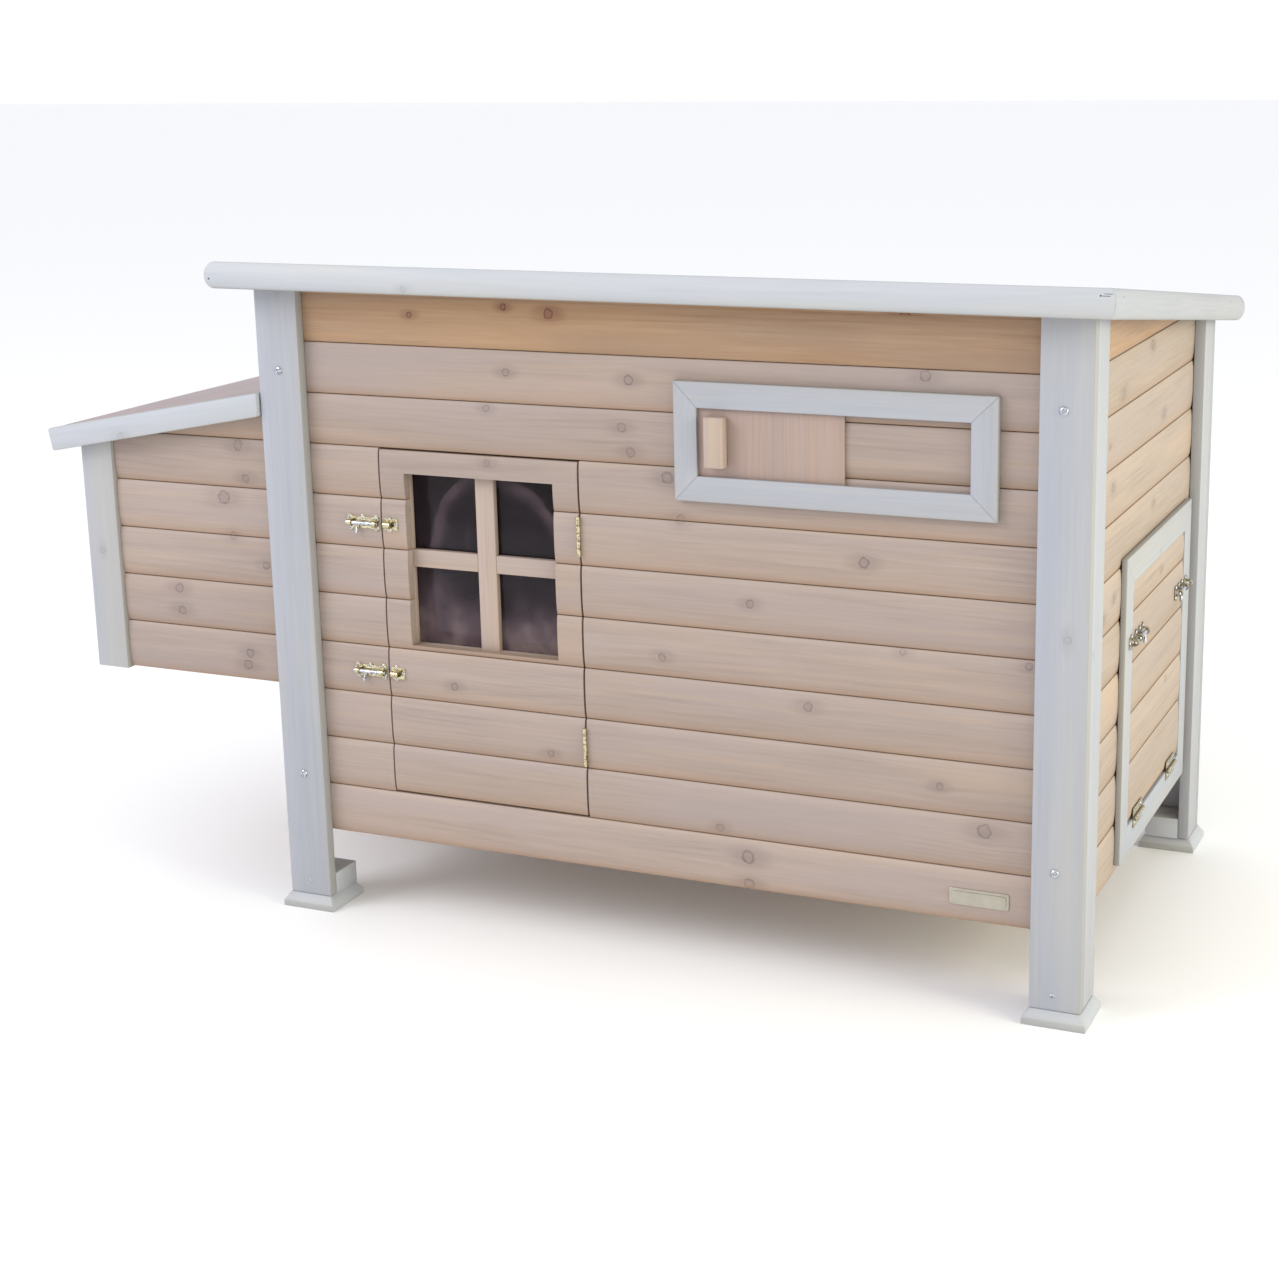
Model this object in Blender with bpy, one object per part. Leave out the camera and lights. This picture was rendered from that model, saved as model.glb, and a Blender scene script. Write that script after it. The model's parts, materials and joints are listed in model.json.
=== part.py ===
"""A wooden chicken coop with a nest box on its left side, in metres, +Z up.

Shapes are worked out in the coop's own corner frame: x = 0 is the left face of the left
corner posts, y = 0 is the front face of the front posts, and z = 0 is the ground. The
empty called coop_origin then shifts everything, so that the part's origin is the centre
of the ground under its whole outline.
"""

import math

import bmesh
import bpy
from mathutils import Matrix, Vector

# Driving dimensions
BOARD_PITCH = 0.060  # cover height of one log-profile wall board
BODY_WIDTH = 0.992  # over the corner posts, left to right
BODY_DEPTH = 0.624  # over the corner posts, front to back
WALL_BOTTOM = 0.0995  # underside of the lowest wall board
ROOF_FRONT_TOP = 0.7956  # the roof plane over the front trim's outer edge
ROOF_PITCH = math.radians(7.0)  # falls towards the back
ROOF_OVERHANG_FRONT = 0.041
ROOF_OVERHANG_LEFT = 0.037  # past the corner posts, over the nest box
ROOF_OVERHANG_RIGHT = 0.029
GAP = 0.0003  # between pieces that touch

# Boards
BOARD_THICK = 0.012
GROOVE_DEPTH = 0.0045
SHOULDER = ((0.0, 1.0), (0.0025, 0.4), (0.009, 0.0))  # distance from groove, depth share
BATTEN = 0.020

# Corner posts and feet
POST_FACE = 0.0565  # width of a post's front or back board
POST_SIDE = 0.060  # how far a post's side board reaches from the front or back
POST_THICK = 0.0135  # the walls run behind the post boards
FOOT_SIZE = 0.0707
FOOT_PROUD = 0.0076
FOOT_STEPS = ((0.0, 0.0), (0.007, 0.0), (0.012, 0.0045), (0.017, 0.0062))  # height, inset
FOOT_BLOCK_TOP = 0.043

# Roof
TRIM_HEIGHT = 0.031
TRIM_DEPTH = 0.018
TRIM_BULGE = 0.009  # how far the rounded outer side stands out
ROOF_FELT_TOP = -0.0050  # heights counted down from the trim's top, square to the roof
FELT_THICK = 0.0025
ROOF_BOARD_THICK = 0.010

# Front door and its window
DOOR = ((0.1493, 0.1610), (0.4050, 0.5780))  # low and high corners in x and z
DOORWAY = ((0.1473, 0.1593), (0.4075, 0.5797))
WINDOW = ((0.181, 0.345), (0.374, 0.551))
SASH_MARGIN = 0.012
SASH_THICK = 0.008
BAR_UPRIGHT = (0.2675, 0.2915)
BAR_LEVEL = (0.438, 0.459)
PANE_THICK = 0.002
DOOR_HINGE_X = 0.40625
DOOR_HINGE_PROUD = 0.0028  # pin of the door hinges, in front of the boards
DOOR_HINGE_Z = (0.2455, 0.4935)  # middle heights of the two hinges
DOOR_LEAF = 0.0140
FRONT_BOLT_Z = (0.309, 0.4895)
FRONT_BOLT_X = 0.102
FRONT_KEEPER_AT = 0.0495

# Vent with its sliding cover
VENT_FRAME = ((0.5285, 0.545), (0.892, 0.6765))
VENT_VIEW = ((0.5555, 0.573), (0.863, 0.648))  # the frame's inner edge
VENT_HOLE = ((0.571, 0.582), (0.684, 0.639))
VENT_FRAME_PROUD = 0.0085
VENT_SLIDE = ((0.551, 0.5685), (0.7235, 0.6525))
VENT_SLIDE_PROUD = (0.0035, 0.0005)  # the slide's faces, in front of the boards
VENT_KNOB = ((0.5665, 0.584), (0.590, 0.640))
VENT_KNOB_PROUD = 0.013
VENT_REBATE = ((0.550, 0.5675), (0.869, 0.6535))

# Pop door on the right side: low and high corners in y and z
POP_FRAME = ((0.200, 0.112), (0.549, 0.470))
POP_VIEW = ((0.236, 0.147), (0.514, 0.436))
POP_FRAME_THICK = 0.0063
POP_DOOR = ((0.2375, 0.1490), (0.5125, 0.4345))
POP_HINGE_Y = (0.2845, 0.4645)
POP_HINGE_Z = 0.148
POP_LEAF = 0.0120
POP_BOLT_Z = 0.369
POP_BOLT_REACH = 0.052  # from the door's edge back to the far end of the bolt's plate
POP_KEEPER_AT = 0.0535  # keeper's near edge, counted from that far end

# Nest box
NEST_END = -0.279  # outer face of the outer posts
NEST_POST_WIDTH = 0.0455
NEST_FRONT = 0.014  # front face of its posts
NEST_RECESS = 0.005  # its boards lie this far inside the faces of its posts
NEST_POST_SIDE = 0.056
NEST_BOTTOM = 0.278
NEST_POST_BOTTOM = 0.276
NEST_FLOOR = (0.286, 0.294)
NEST_DIVIDER_TOP = 0.470
DIVIDER_THICK = 0.008
NEST_DOORWAYS = (((0.085, 0.305), (0.285, 0.500)), ((0.339, 0.305), (0.539, 0.500)))
LID_OUTER_X = -0.312
LID_INNER_X = -0.002
LID_FRONT_Y = -0.006
LID_OUTER_TOP = 0.580
LID_PITCH = math.radians(10.8)
LID_TRIM_THICK = 0.014
LID_TRIM_HEIGHT = 0.028
LID_BOARD_THICK = 0.009
LID_FELT_TOP = -0.001
LID_FELT_THICK = 0.002
LID_HINGE_X = 0.003
LID_HINGE_Y = (0.064, 0.560)
LID_HINGE_RADIUS = 0.0026
LID_HINGE_LEAF = 0.022

# Inside
FLOOR_Z = (0.112, 0.122)
FRONT_BATTENS_X = (0.060, 0.121, 0.4135, 0.912)
BACK_BATTENS_X = (0.060, 0.486, 0.912)
SIDE_BATTEN_FROM_END = 0.062
BATTEN_BITE = 0.002  # overlap of a batten with its boards
BATTEN_SHORT = 0.004  # how far a batten stops below the roof board
PERCH_X = (0.697, 0.723)
PERCH_Z = (0.262, 0.288)
CLEAT_SIZE = (0.044, 0.020, 0.030)

# Small ironmongery
PLATE = 0.001
ROD_RADIUS = 0.0025
ROD_LENGTH = 0.043
ROD_OUT = 0.0052  # rod centre above the plate's back
BOLT_LENGTH = 0.0435
BOLT_HEIGHT = 0.019
BOLT_LOOPS = ((0.004, 0.009), (0.0375, 0.042))
LOOP_HALF = 0.0045
KNOB_AT = 0.0145
KNOB_REACH = 0.013
KNOB_RADIUS = 0.002
KEEPER_LENGTH = 0.019
KEEPER_LOOP = (0.003, 0.012)
BUTT_LENGTH = 0.046
BUTT_RADIUS = 0.0024
BUTT_NOTCH = 0.0030  # where one leaf clears the other's barrel
FLAT_LEAF = (-BUTT_RADIUS, -BUTT_RADIUS + PLATE)  # a leaf screwed flat on a face
FOLDED_LEAF = (0.00025, 0.00095)  # a leaf folded into the gap beside a door
ROUND_SIDES = 12
REACH = 0.01  # how far a cutting shape runs past what it cuts

WALL_RECESS = POST_THICK + GAP
FRONT_FACE = WALL_RECESS
BACK_FACE = BODY_DEPTH - WALL_RECESS
LEFT_FACE = WALL_RECESS
RIGHT_FACE = BODY_WIDTH - WALL_RECESS
DOOR_HINGE_Y = FRONT_FACE - DOOR_HINGE_PROUD
FOOTPRINT_X = (LID_OUTER_X, BODY_WIDTH + ROOF_OVERHANG_RIGHT)
FOOTPRINT_Y = (-ROOF_OVERHANG_FRONT, BODY_DEPTH + ROOF_OVERHANG_FRONT)
POP_FACE = RIGHT_FACE + GAP + POP_FRAME_THICK
POP_HINGE_X = POP_FACE + GAP + BUTT_RADIUS
COLOURS = {
    "planks": ((0.54, 0.43, 0.35), 0.75, 0.0),
    "white_paint": ((0.60, 0.62, 0.65), 0.65, 0.0),
    "plywood": ((0.56, 0.38, 0.27), 0.75, 0.0),
    "felt": ((0.20, 0.12, 0.11), 0.55, 0.0),
    "brass": ((0.62, 0.48, 0.22), 0.35, 1.0),
    "zinc": ((0.60, 0.60, 0.62), 0.30, 1.0),
    "glazing": ((0.05, 0.05, 0.06), 0.10, 0.0),
}


def material(name):
    """The Principled material of that name, made on first use."""
    found = bpy.data.materials.get(name)
    if found:
        return found
    colour, roughness, metallic = COLOURS[name]
    made = bpy.data.materials.new(name)
    made.use_nodes = True
    shader = made.node_tree.nodes["Principled BSDF"]
    shader.inputs["Base Color"].default_value = (*colour, 1.0)
    shader.inputs["Roughness"].default_value = roughness
    shader.inputs["Metallic"].default_value = metallic
    return made


def body(name, mesh_source, finish=None, pivot=(0, 0, 0)):
    """One object from a bmesh, with its own origin at the pivot."""
    pivot = Vector(pivot)
    bmesh.ops.translate(mesh_source, verts=mesh_source.verts, vec=-pivot)
    bmesh.ops.recalc_face_normals(mesh_source, faces=mesh_source.faces)
    mesh = bpy.data.meshes.new(name)
    mesh_source.to_mesh(mesh)
    mesh_source.free()
    made = bpy.data.objects.new(name, mesh)
    bpy.context.scene.collection.objects.link(made)
    made.location = pivot
    made.parent = ORIGIN
    if finish:
        mesh.materials.append(material(finish))
    return made


def prism(outline, axis, start, end):
    """A closed solid: a 2-D outline in the other two axes, pushed along one axis."""
    mesh_source = bmesh.new()
    others = [i for i in range(3) if i != axis]
    rings = []
    for along in (start, end):
        ring = []
        for u, v in outline:
            place = [0.0, 0.0, 0.0]
            place[axis] = along(u, v) if callable(along) else along
            place[others[0]], place[others[1]] = u, v
            ring.append(mesh_source.verts.new(place))
        rings.append(ring)
    bridge(mesh_source, rings)
    return mesh_source


def bridge(mesh_source, rings):
    """Walls between rings of vertices, with the first and last ring closed."""
    for low, high in zip(rings, rings[1:]):
        for i in range(len(low)):
            j = (i + 1) % len(low)
            mesh_source.faces.new((low[i], low[j], high[j], high[i]))
    mesh_source.faces.new(rings[0])
    mesh_source.faces.new(rings[-1])


def rectangle(low, high):
    return [(low[0], low[1]), (high[0], low[1]), (high[0], high[1]), (low[0], high[1])]


def box(low, high):
    return prism(rectangle(low[:2], high[:2]), 2, low[2], high[2])


def panel(plane, low, high, start, end):
    """A box given by two corners in one plane ('xz' or 'yz') and a span across it."""
    if plane == "xz":
        return box((low[0], start, low[1]), (high[0], end, high[1]))
    return box((start, low[0], low[1]), (end, high[0], high[1]))


def rod(axis, centre, radius, start, end, sides=ROUND_SIDES):
    """A round bar along an axis; centre gives the other two coordinates."""
    turns = [2 * math.pi * (i + 0.5) / sides for i in range(sides)]
    ring = [(centre[0] + radius * math.cos(t), centre[1] + radius * math.sin(t)) for t in turns]
    return prism(ring, axis, start, end)


def combine(target, tool, operation):
    """Adds a Boolean modifier with a hidden tool shape: DIFFERENCE cuts, UNION joins."""
    guide = body(f"{target.name}.tool{len(target.modifiers)}", tool)
    guide.hide_render = True
    guide.display_type = "WIRE"
    change = target.modifiers.new(operation.title(), "BOOLEAN")
    change.operation = operation
    change.object = guide


def cut(target, tool):
    combine(target, tool, "DIFFERENCE")


def join(target, tool):
    combine(target, tool, "UNION")


# Surfaces that other pieces are cut to


def roof_point(x, along, height):
    """A point on the roof: along runs down its slope, height is square to it."""
    y = -ROOF_OVERHANG_FRONT + along * math.cos(ROOF_PITCH) + height * math.sin(ROOF_PITCH)
    z = ROOF_FRONT_TOP - along * math.sin(ROOF_PITCH) + height * math.cos(ROOF_PITCH)
    return Vector((x, y, z))


def below_roof(y):
    """Height of the roof board's underside, less the fitting gap."""
    top = ROOF_FRONT_TOP - (y + ROOF_OVERHANG_FRONT) * math.tan(ROOF_PITCH)
    build_up = -ROOF_FELT_TOP + FELT_THICK + GAP + ROOF_BOARD_THICK + GAP
    return top - build_up / math.cos(ROOF_PITCH)


def lid_point(along, y, height):
    """A point on the nest lid: along runs up its slope from the outer edge."""
    x = LID_OUTER_X + along * math.cos(LID_PITCH) - height * math.sin(LID_PITCH)
    z = LID_OUTER_TOP + along * math.sin(LID_PITCH) + height * math.cos(LID_PITCH)
    return Vector((x, y, z))


def below_lid(x):
    """Height of the lid board's underside, less the fitting gap."""
    top = LID_OUTER_TOP + (x - LID_OUTER_X) * math.tan(LID_PITCH)
    build_up = -LID_FELT_TOP + LID_FELT_THICK + GAP + LID_BOARD_THICK + GAP
    return top - build_up / math.cos(LID_PITCH)


def board_outline(face, inward, bottom, top, first_seam=WALL_BOTTOM):
    """Section of a wall of log-profile boards as (across, height) points.

    face is the plane of the boards' crowns, and inward is +1 or -1 towards their backs.
    top is a height, or a function that gives the height at an across position.
    """
    back = face + inward * BOARD_THICK
    peak = top if callable(top) else lambda across: top
    points = [(back, bottom), (back, peak(back))]
    seams = [first_seam + i * BOARD_PITCH for i in range(13)]
    least = BOARD_PITCH / 5
    seams = [z for z in seams if bottom + least < z < peak(face) - least]
    edges = sorted([bottom, *seams], reverse=True)
    upper = peak(face)
    for lower in edges:
        start = 0 if upper != peak(face) else len(SHOULDER) - 1
        for offset, share in SHOULDER[start:]:
            height = upper - (offset if upper != peak(face) else 0.0)
            points.append((face + inward * share * GROOVE_DEPTH, height))
        for offset, share in reversed(SHOULDER):
            points.append((face + inward * share * GROOVE_DEPTH, lower + offset))
        upper = lower
    return [p for i, p in enumerate(points) if p != points[i - 1]]


# Posts and feet


def corner_post(name, right, back):
    """An L-shaped corner post: a face board and a side board, cut to the roof's slope."""
    outline = [
        (0, 0),
        (POST_FACE, 0),
        (POST_FACE, POST_THICK),
        (POST_THICK, POST_THICK),
        (POST_THICK, POST_SIDE),
        (0, POST_SIDE),
    ]
    placed = [place_corner(x, y, right, back) for x, y in outline]
    foot_top = FOOT_STEPS[-1][0] + GAP
    body(name, prism(placed, 2, foot_top, lambda x, y: below_roof(y)), "white_paint")


def place_corner(x, y, right, back):
    return (BODY_WIDTH - x if right else x, BODY_DEPTH - y if back else y)


def corner_foot(name, right, back):
    """A square plinth with a stepped edge, and the block that fills the post's corner."""
    plinth = bmesh.new()
    rings = []
    for height, inset in FOOT_STEPS:
        low, high = inset - FOOT_PROUD, FOOT_SIZE - FOOT_PROUD - inset
        square = rectangle((low, low), (high, high))
        places = [place_corner(x, y, right, back) for x, y in square]
        rings.append([plinth.verts.new((x, y, height)) for x, y in places])
    bridge(plinth, rings)
    foot = body(name, plinth, "white_paint")
    low = place_corner(POST_THICK + GAP, POST_THICK + GAP, right, back)
    high = place_corner(POST_FACE - GAP, POST_SIDE - GAP, right, back)
    join(foot, box((*low, FOOT_STEPS[-1][0] - 0.003), (*high, FOOT_BLOCK_TOP)))


def posts_and_feet():
    for side in ("left", "right"):
        for end in ("front", "back"):
            right, back = side == "right", end == "back"
            corner_post(f"corner_post_{end}_{side}", right, back)
            corner_foot(f"foot_{end}_{side}", right, back)


# Walls


def batten(target, x, y, bottom, top):
    """An upright batten inside a wall, joined to it with a clear overlap."""
    join(target, box((x[0], y[0], bottom), (x[1], y[1], top)))


def wall_top(y):
    """Height of a batten's top end."""
    return below_roof(y) - BATTEN_SHORT


def front_wall():
    span = (WALL_RECESS, BODY_WIDTH - WALL_RECESS)
    outline = board_outline(FRONT_FACE, 1, WALL_BOTTOM, below_roof)
    wall = body("front_wall", prism(outline, 0, *span), "planks")
    inside = FRONT_FACE + BOARD_THICK
    depth = (inside - BATTEN_BITE, inside + BATTEN)
    for x in FRONT_BATTENS_X:
        batten(wall, (x, x + BATTEN), depth, FLOOR_Z[1] + GAP, wall_top(depth[1]))
    cleat(wall, (inside - BATTEN_BITE, inside + CLEAT_SIZE[1]))
    cut(wall, panel("xz", *DOORWAY, FRONT_FACE - REACH, inside + BATTEN_BITE))
    cut(wall, panel("xz", *VENT_HOLE, FRONT_FACE - REACH, inside + REACH))


def cleat(target, depth):
    """The block under one end of the perch."""
    middle = sum(PERCH_X) / 2
    top = PERCH_Z[0] - GAP
    x = (middle - CLEAT_SIZE[0] / 2, middle + CLEAT_SIZE[0] / 2)
    join(target, box((x[0], depth[0], top - CLEAT_SIZE[2]), (x[1], depth[1], top)))


def back_wall():
    span = (WALL_RECESS, BODY_WIDTH - WALL_RECESS)
    outline = board_outline(BACK_FACE, -1, WALL_BOTTOM, below_roof)
    wall = body("back_wall", prism(outline, 0, *span), "planks")
    inside = BACK_FACE - BOARD_THICK
    depth = (inside - BATTEN, inside + BATTEN_BITE)
    for x in BACK_BATTENS_X:
        batten(wall, (x, x + BATTEN), depth, FLOOR_Z[1] + GAP, wall_top(depth[1]))
    cleat(wall, (inside - CLEAT_SIZE[1], inside + BATTEN_BITE))


def side_wall(name, face, inward):
    """A side wall between the front and back walls, its top cut to the roof's slope."""
    end = WALL_RECESS + BOARD_THICK + GAP
    span = (end, BODY_DEPTH - end)
    top = below_roof(span[0])
    wall = body(name, prism(board_outline(face, inward, WALL_BOTTOM, top), 1, *span), "planks")
    inside = face + inward * BOARD_THICK
    across = sorted((inside - inward * BATTEN_BITE, inside + inward * BATTEN))
    for y in (SIDE_BATTEN_FROM_END, BODY_DEPTH - SIDE_BATTEN_FROM_END - BATTEN):
        batten(wall, across, (y, y + BATTEN), FLOOR_Z[1] + GAP, wall_top(y + BATTEN))
    slope = [
        (-REACH, below_roof(-REACH)),
        (BODY_DEPTH + REACH, below_roof(BODY_DEPTH + REACH)),
        (BODY_DEPTH + REACH, ROOF_FRONT_TOP),
        (-REACH, ROOF_FRONT_TOP),
    ]
    cut(wall, prism(slope, 0, *sorted((face - inward * REACH, inside + inward * REACH))))
    return wall


def side_walls():
    left = side_wall("left_wall", LEFT_FACE, 1)
    for low, high in NEST_DOORWAYS:
        cut(left, panel("yz", low, high, LEFT_FACE - REACH, LEFT_FACE + BOARD_THICK + REACH))
    right = side_wall("right_wall", RIGHT_FACE, -1)
    cut(right, panel("yz", *POP_VIEW, RIGHT_FACE - BOARD_THICK - REACH, RIGHT_FACE + REACH))


def inside():
    low = (LEFT_FACE + BOARD_THICK + GAP, FRONT_FACE + BOARD_THICK + GAP)
    high = (RIGHT_FACE - BOARD_THICK - GAP, BACK_FACE - BOARD_THICK - GAP)
    body("floor_panel", box((*low, FLOOR_Z[0]), (*high, FLOOR_Z[1])), "plywood")
    perch = box((PERCH_X[0], low[1], PERCH_Z[0]), (PERCH_X[1], high[1], PERCH_Z[1]))
    body("perch", perch, "planks")


# Roof


def sloped(point, spans):
    """A flat slab on a slope, from its spans along, across and square to the slope."""
    slab = box(*zip(*spans))
    for vert in slab.verts:
        vert.co = point(*vert.co)
    return slab


def trim_section():
    """Section of the roof trim as (depth from its outer face, height) points."""
    half = TRIM_HEIGHT / 2
    turns = [math.pi * (0.5 + i / 8) for i in range(9)]
    curve = [(TRIM_BULGE * (1 + math.cos(t)), half * (math.sin(t) - 1)) for t in turns]
    return [*curve, (TRIM_DEPTH, -TRIM_HEIGHT), (TRIM_DEPTH, 0.0)]


def roof_trim(name, place):
    """One mitred trim, rounded outside; place(end, depth, height) gives a point at either end."""
    trim = bmesh.new()
    rings = [[trim.verts.new(place(end, d, h)) for d, h in trim_section()] for end in (0, 1)]
    bridge(trim, rings)
    body(name, trim, "white_paint")


def roof():
    left, right = -ROOF_OVERHANG_LEFT, BODY_WIDTH + ROOF_OVERHANG_RIGHT
    length = (BODY_DEPTH + 2 * ROOF_OVERHANG_FRONT) / math.cos(ROOF_PITCH)
    inner = TRIM_DEPTH + GAP
    spans_x = (left + inner, right - inner)
    spans_along = (inner, length - inner)
    felt = (ROOF_FELT_TOP - FELT_THICK, ROOF_FELT_TOP)
    board = (felt[0] - GAP - ROOF_BOARD_THICK, felt[0] - GAP)
    body("roof_panel", sloped(roof_point, (spans_x, spans_along, board)), "plywood")
    body("roof_felt", sloped(roof_point, (spans_x, spans_along, felt)), "felt")

    def along_x(end, depth, height, row):
        x = right - depth - GAP if end else left + depth + GAP
        return roof_point(x, length - depth if row else depth, height)

    def along_slope(end, depth, height, side):
        along = length - depth - GAP if end else depth + GAP
        return roof_point(right - depth if side else left + depth, along, height)

    roof_trim("roof_trim_front", lambda end, d, h: along_x(end, d, h, 0))
    roof_trim("roof_trim_back", lambda end, d, h: along_x(end, d, h, 1))
    roof_trim("roof_trim_left", lambda end, d, h: along_slope(end, d, h, 0))
    roof_trim("roof_trim_right", lambda end, d, h: along_slope(end, d, h, 1))


# Small ironmongery


def turned(shape, basis, origin):
    """A shape drawn in (along, up, out) directions, put on a surface of the coop."""
    matrix = Matrix([[axis[row] for axis in basis] for row in range(3)])
    for vert in shape.verts:
        vert.co = matrix @ vert.co + Vector(origin)
    return shape


def loop_and_plate(name, length, loops, basis, origin, pivot=(0, 0, 0)):
    """A brass plate with standing loops, bored for the bolt's rod."""
    half = BOLT_HEIGHT / 2
    plate = turned(box((0, -half, 0), (length, half, PLATE)), basis, origin)
    made = body(name, plate, "brass", pivot)
    for start, end in loops:
        high = (end, LOOP_HALF, ROD_OUT + LOOP_HALF)
        join(made, turned(box((start, -LOOP_HALF, PLATE / 2), high), basis, origin))
    bore = rod(0, (0, ROD_OUT), ROD_RADIUS + GAP, -REACH, length + REACH)
    cut(made, turned(bore, basis, origin))


def barrel_bolt(name, basis, origin, keeper_at, door_pivot, body_on_door):
    """A barrel bolt drawn back, and the keeper that its rod slides into."""
    body_pivot = door_pivot if body_on_door else (0, 0, 0)
    keeper_pivot = (0, 0, 0) if body_on_door else door_pivot
    loop_and_plate(f"{name}_body", BOLT_LENGTH, BOLT_LOOPS, basis, origin, body_pivot)
    along = Vector(basis[0])
    keeper = Vector(origin) + along * keeper_at
    loop_and_plate(f"{name}_keeper", KEEPER_LENGTH, (KEEPER_LOOP,), basis, keeper, keeper_pivot)
    start = BOLT_LENGTH - ROD_LENGTH + GAP
    shaft = turned(rod(0, (0, ROD_OUT), ROD_RADIUS, start, BOLT_LENGTH + GAP), basis, origin)
    made = body(f"{name}_rod", shaft, "zinc", origin)
    knob = rod(1, (KNOB_AT, ROD_OUT), KNOB_RADIUS, -KNOB_REACH, 0.0, 8)
    join(made, turned(knob, basis, origin))


def butt_hinge(name, pin, along, leaf, opposite, width, pivot):
    """Two leaves of a hinge, each with half of the barrel.

    pin is the middle of the hinge's pin, and along is its direction. leaf is the way in
    which the moving leaf reaches away from the pin. The fixed leaf reaches the opposite
    way, or lies face to face with it.
    """
    point, along, leaf = Vector(pin), Vector(along), Vector(leaf)
    across = along.cross(leaf)
    half, split = BUTT_LENGTH / 2, GAP / 2
    for part, sign in (("fixed", -1), ("moving", 1)):
        near, far = -sign * half, sign * half
        outline = [
            (0, sign * split),
            (BUTT_NOTCH, sign * split),
            (BUTT_NOTCH, near),
            (width, near),
            (width, far),
            (0, far),
        ]
        reach = leaf * (sign if opposite else 1)
        spread = FLAT_LEAF if opposite else sorted(sign * edge for edge in FOLDED_LEAF)
        basis = (reach, along, across)
        plate = turned(prism(outline, 2, *spread), basis, point)
        made = body(f"{name}_{part}_leaf", plate, "brass", pivot if sign > 0 else (0, 0, 0))
        barrel = rod(1, (0, 0), BUTT_RADIUS, *sorted((sign * split, far)))
        join(made, turned(barrel, basis, point))


# Doors, vent and nest box


def front_door():
    pivot = (DOOR_HINGE_X, DOOR_HINGE_Y, 0)
    low, high = DOOR
    outline = board_outline(FRONT_FACE, 1, low[1], high[1])
    door = body("front_door_panel", prism(outline, 0, low[0], high[0]), "planks", pivot)
    inner = FRONT_FACE + BOARD_THICK
    cut(door, panel("xz", *WINDOW, FRONT_FACE - REACH, inner + REACH))
    sash_low = [edge - SASH_MARGIN for edge in WINDOW[0]]
    sash_high = [edge + SASH_MARGIN for edge in WINDOW[1]]
    depth = (inner + GAP, inner + GAP + SASH_THICK)
    sash = body("window_sash", panel("xz", sash_low, sash_high, *depth), "planks", pivot)
    for x in ((WINDOW[0][0], BAR_UPRIGHT[0]), (BAR_UPRIGHT[1], WINDOW[1][0])):
        for z in ((WINDOW[0][1], BAR_LEVEL[0]), (BAR_LEVEL[1], WINDOW[1][1])):
            cut(sash, box((x[0], depth[0] - REACH, z[0]), (x[1], depth[1] + REACH, z[1])))
    pane = (depth[1] + GAP, depth[1] + GAP + PANE_THICK)
    body("window_pane", panel("xz", sash_low, sash_high, *pane), "glazing", pivot)
    front_basis = ((1, 0, 0), (0, 0, 1), (0, -1, 0))
    for level, name in zip(FRONT_BOLT_Z, ("lower", "upper")):
        origin = (FRONT_BOLT_X, FRONT_FACE - GAP, level)
        barrel_bolt(f"front_bolt_{name}", front_basis, origin, FRONT_KEEPER_AT, pivot, False)
    for level, name in zip(DOOR_HINGE_Z, ("lower", "upper")):
        point = (DOOR_HINGE_X, DOOR_HINGE_Y, level)
        butt_hinge(f"front_hinge_{name}", point, (0, 0, 1), (0, 1, 0), False, DOOR_LEAF, pivot)


def vent():
    depth = (FRONT_FACE - VENT_FRAME_PROUD, FRONT_FACE - GAP)
    slide_depth = [FRONT_FACE - proud for proud in VENT_SLIDE_PROUD]
    frame = body("vent_frame", panel("xz", *VENT_FRAME, *depth), "white_paint")
    cut(frame, panel("xz", *VENT_VIEW, depth[0] - REACH, depth[1] + REACH))
    cut(frame, panel("xz", *VENT_REBATE, slide_depth[0] - GAP, depth[1] + REACH))
    pivot = (VENT_SLIDE[0][0], 0, 0)
    body("vent_slide", panel("xz", *VENT_SLIDE, *slide_depth), "plywood", pivot)
    front = slide_depth[0] - GAP
    body("vent_knob", panel("xz", *VENT_KNOB, front - VENT_KNOB_PROUD, front), "plywood", pivot)


def pop_door():
    pivot = (POP_HINGE_X, 0, POP_HINGE_Z)
    inner, outer = RIGHT_FACE + GAP, POP_FACE
    frame = body("pop_door_frame", panel("yz", *POP_FRAME, inner, outer), "white_paint")
    cut(frame, panel("yz", *POP_VIEW, inner - REACH, outer + REACH))
    low, high = POP_DOOR
    outline = board_outline(POP_FACE - GAP, -1, low[1], high[1])
    body("pop_door_panel", prism(outline, 1, low[0], high[0]), "planks", pivot)
    for middle, name in zip(POP_HINGE_Y, ("front", "back")):
        point = (POP_HINGE_X, middle, POP_HINGE_Z)
        butt_hinge(f"pop_hinge_{name}", point, (0, 1, 0), (0, 0, 1), True, POP_LEAF, pivot)
    for name, edge, along in (("front", low[0], -1), ("back", high[0], 1)):
        basis = ((0, along, 0), (0, 0, 1), (1, 0, 0))
        origin = (POP_FACE + GAP, edge - along * POP_BOLT_REACH, POP_BOLT_Z)
        barrel_bolt(f"pop_bolt_{name}", basis, origin, POP_KEEPER_AT, pivot, True)


def nest_post(name, back):
    """An L-shaped outer post of the nest box, cut to the lid's slope."""
    outline = [
        (0, 0),
        (NEST_POST_WIDTH, 0),
        (NEST_POST_WIDTH, POST_THICK),
        (POST_THICK, POST_THICK),
        (POST_THICK, NEST_POST_SIDE),
        (0, NEST_POST_SIDE),
    ]
    placed = []
    for x, y in outline:
        depth = NEST_FRONT + y
        placed.append((NEST_END + x, BODY_DEPTH - depth if back else depth))
    body(name, prism(placed, 2, NEST_POST_BOTTOM, lambda x, y: below_lid(x)), "white_paint")


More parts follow.
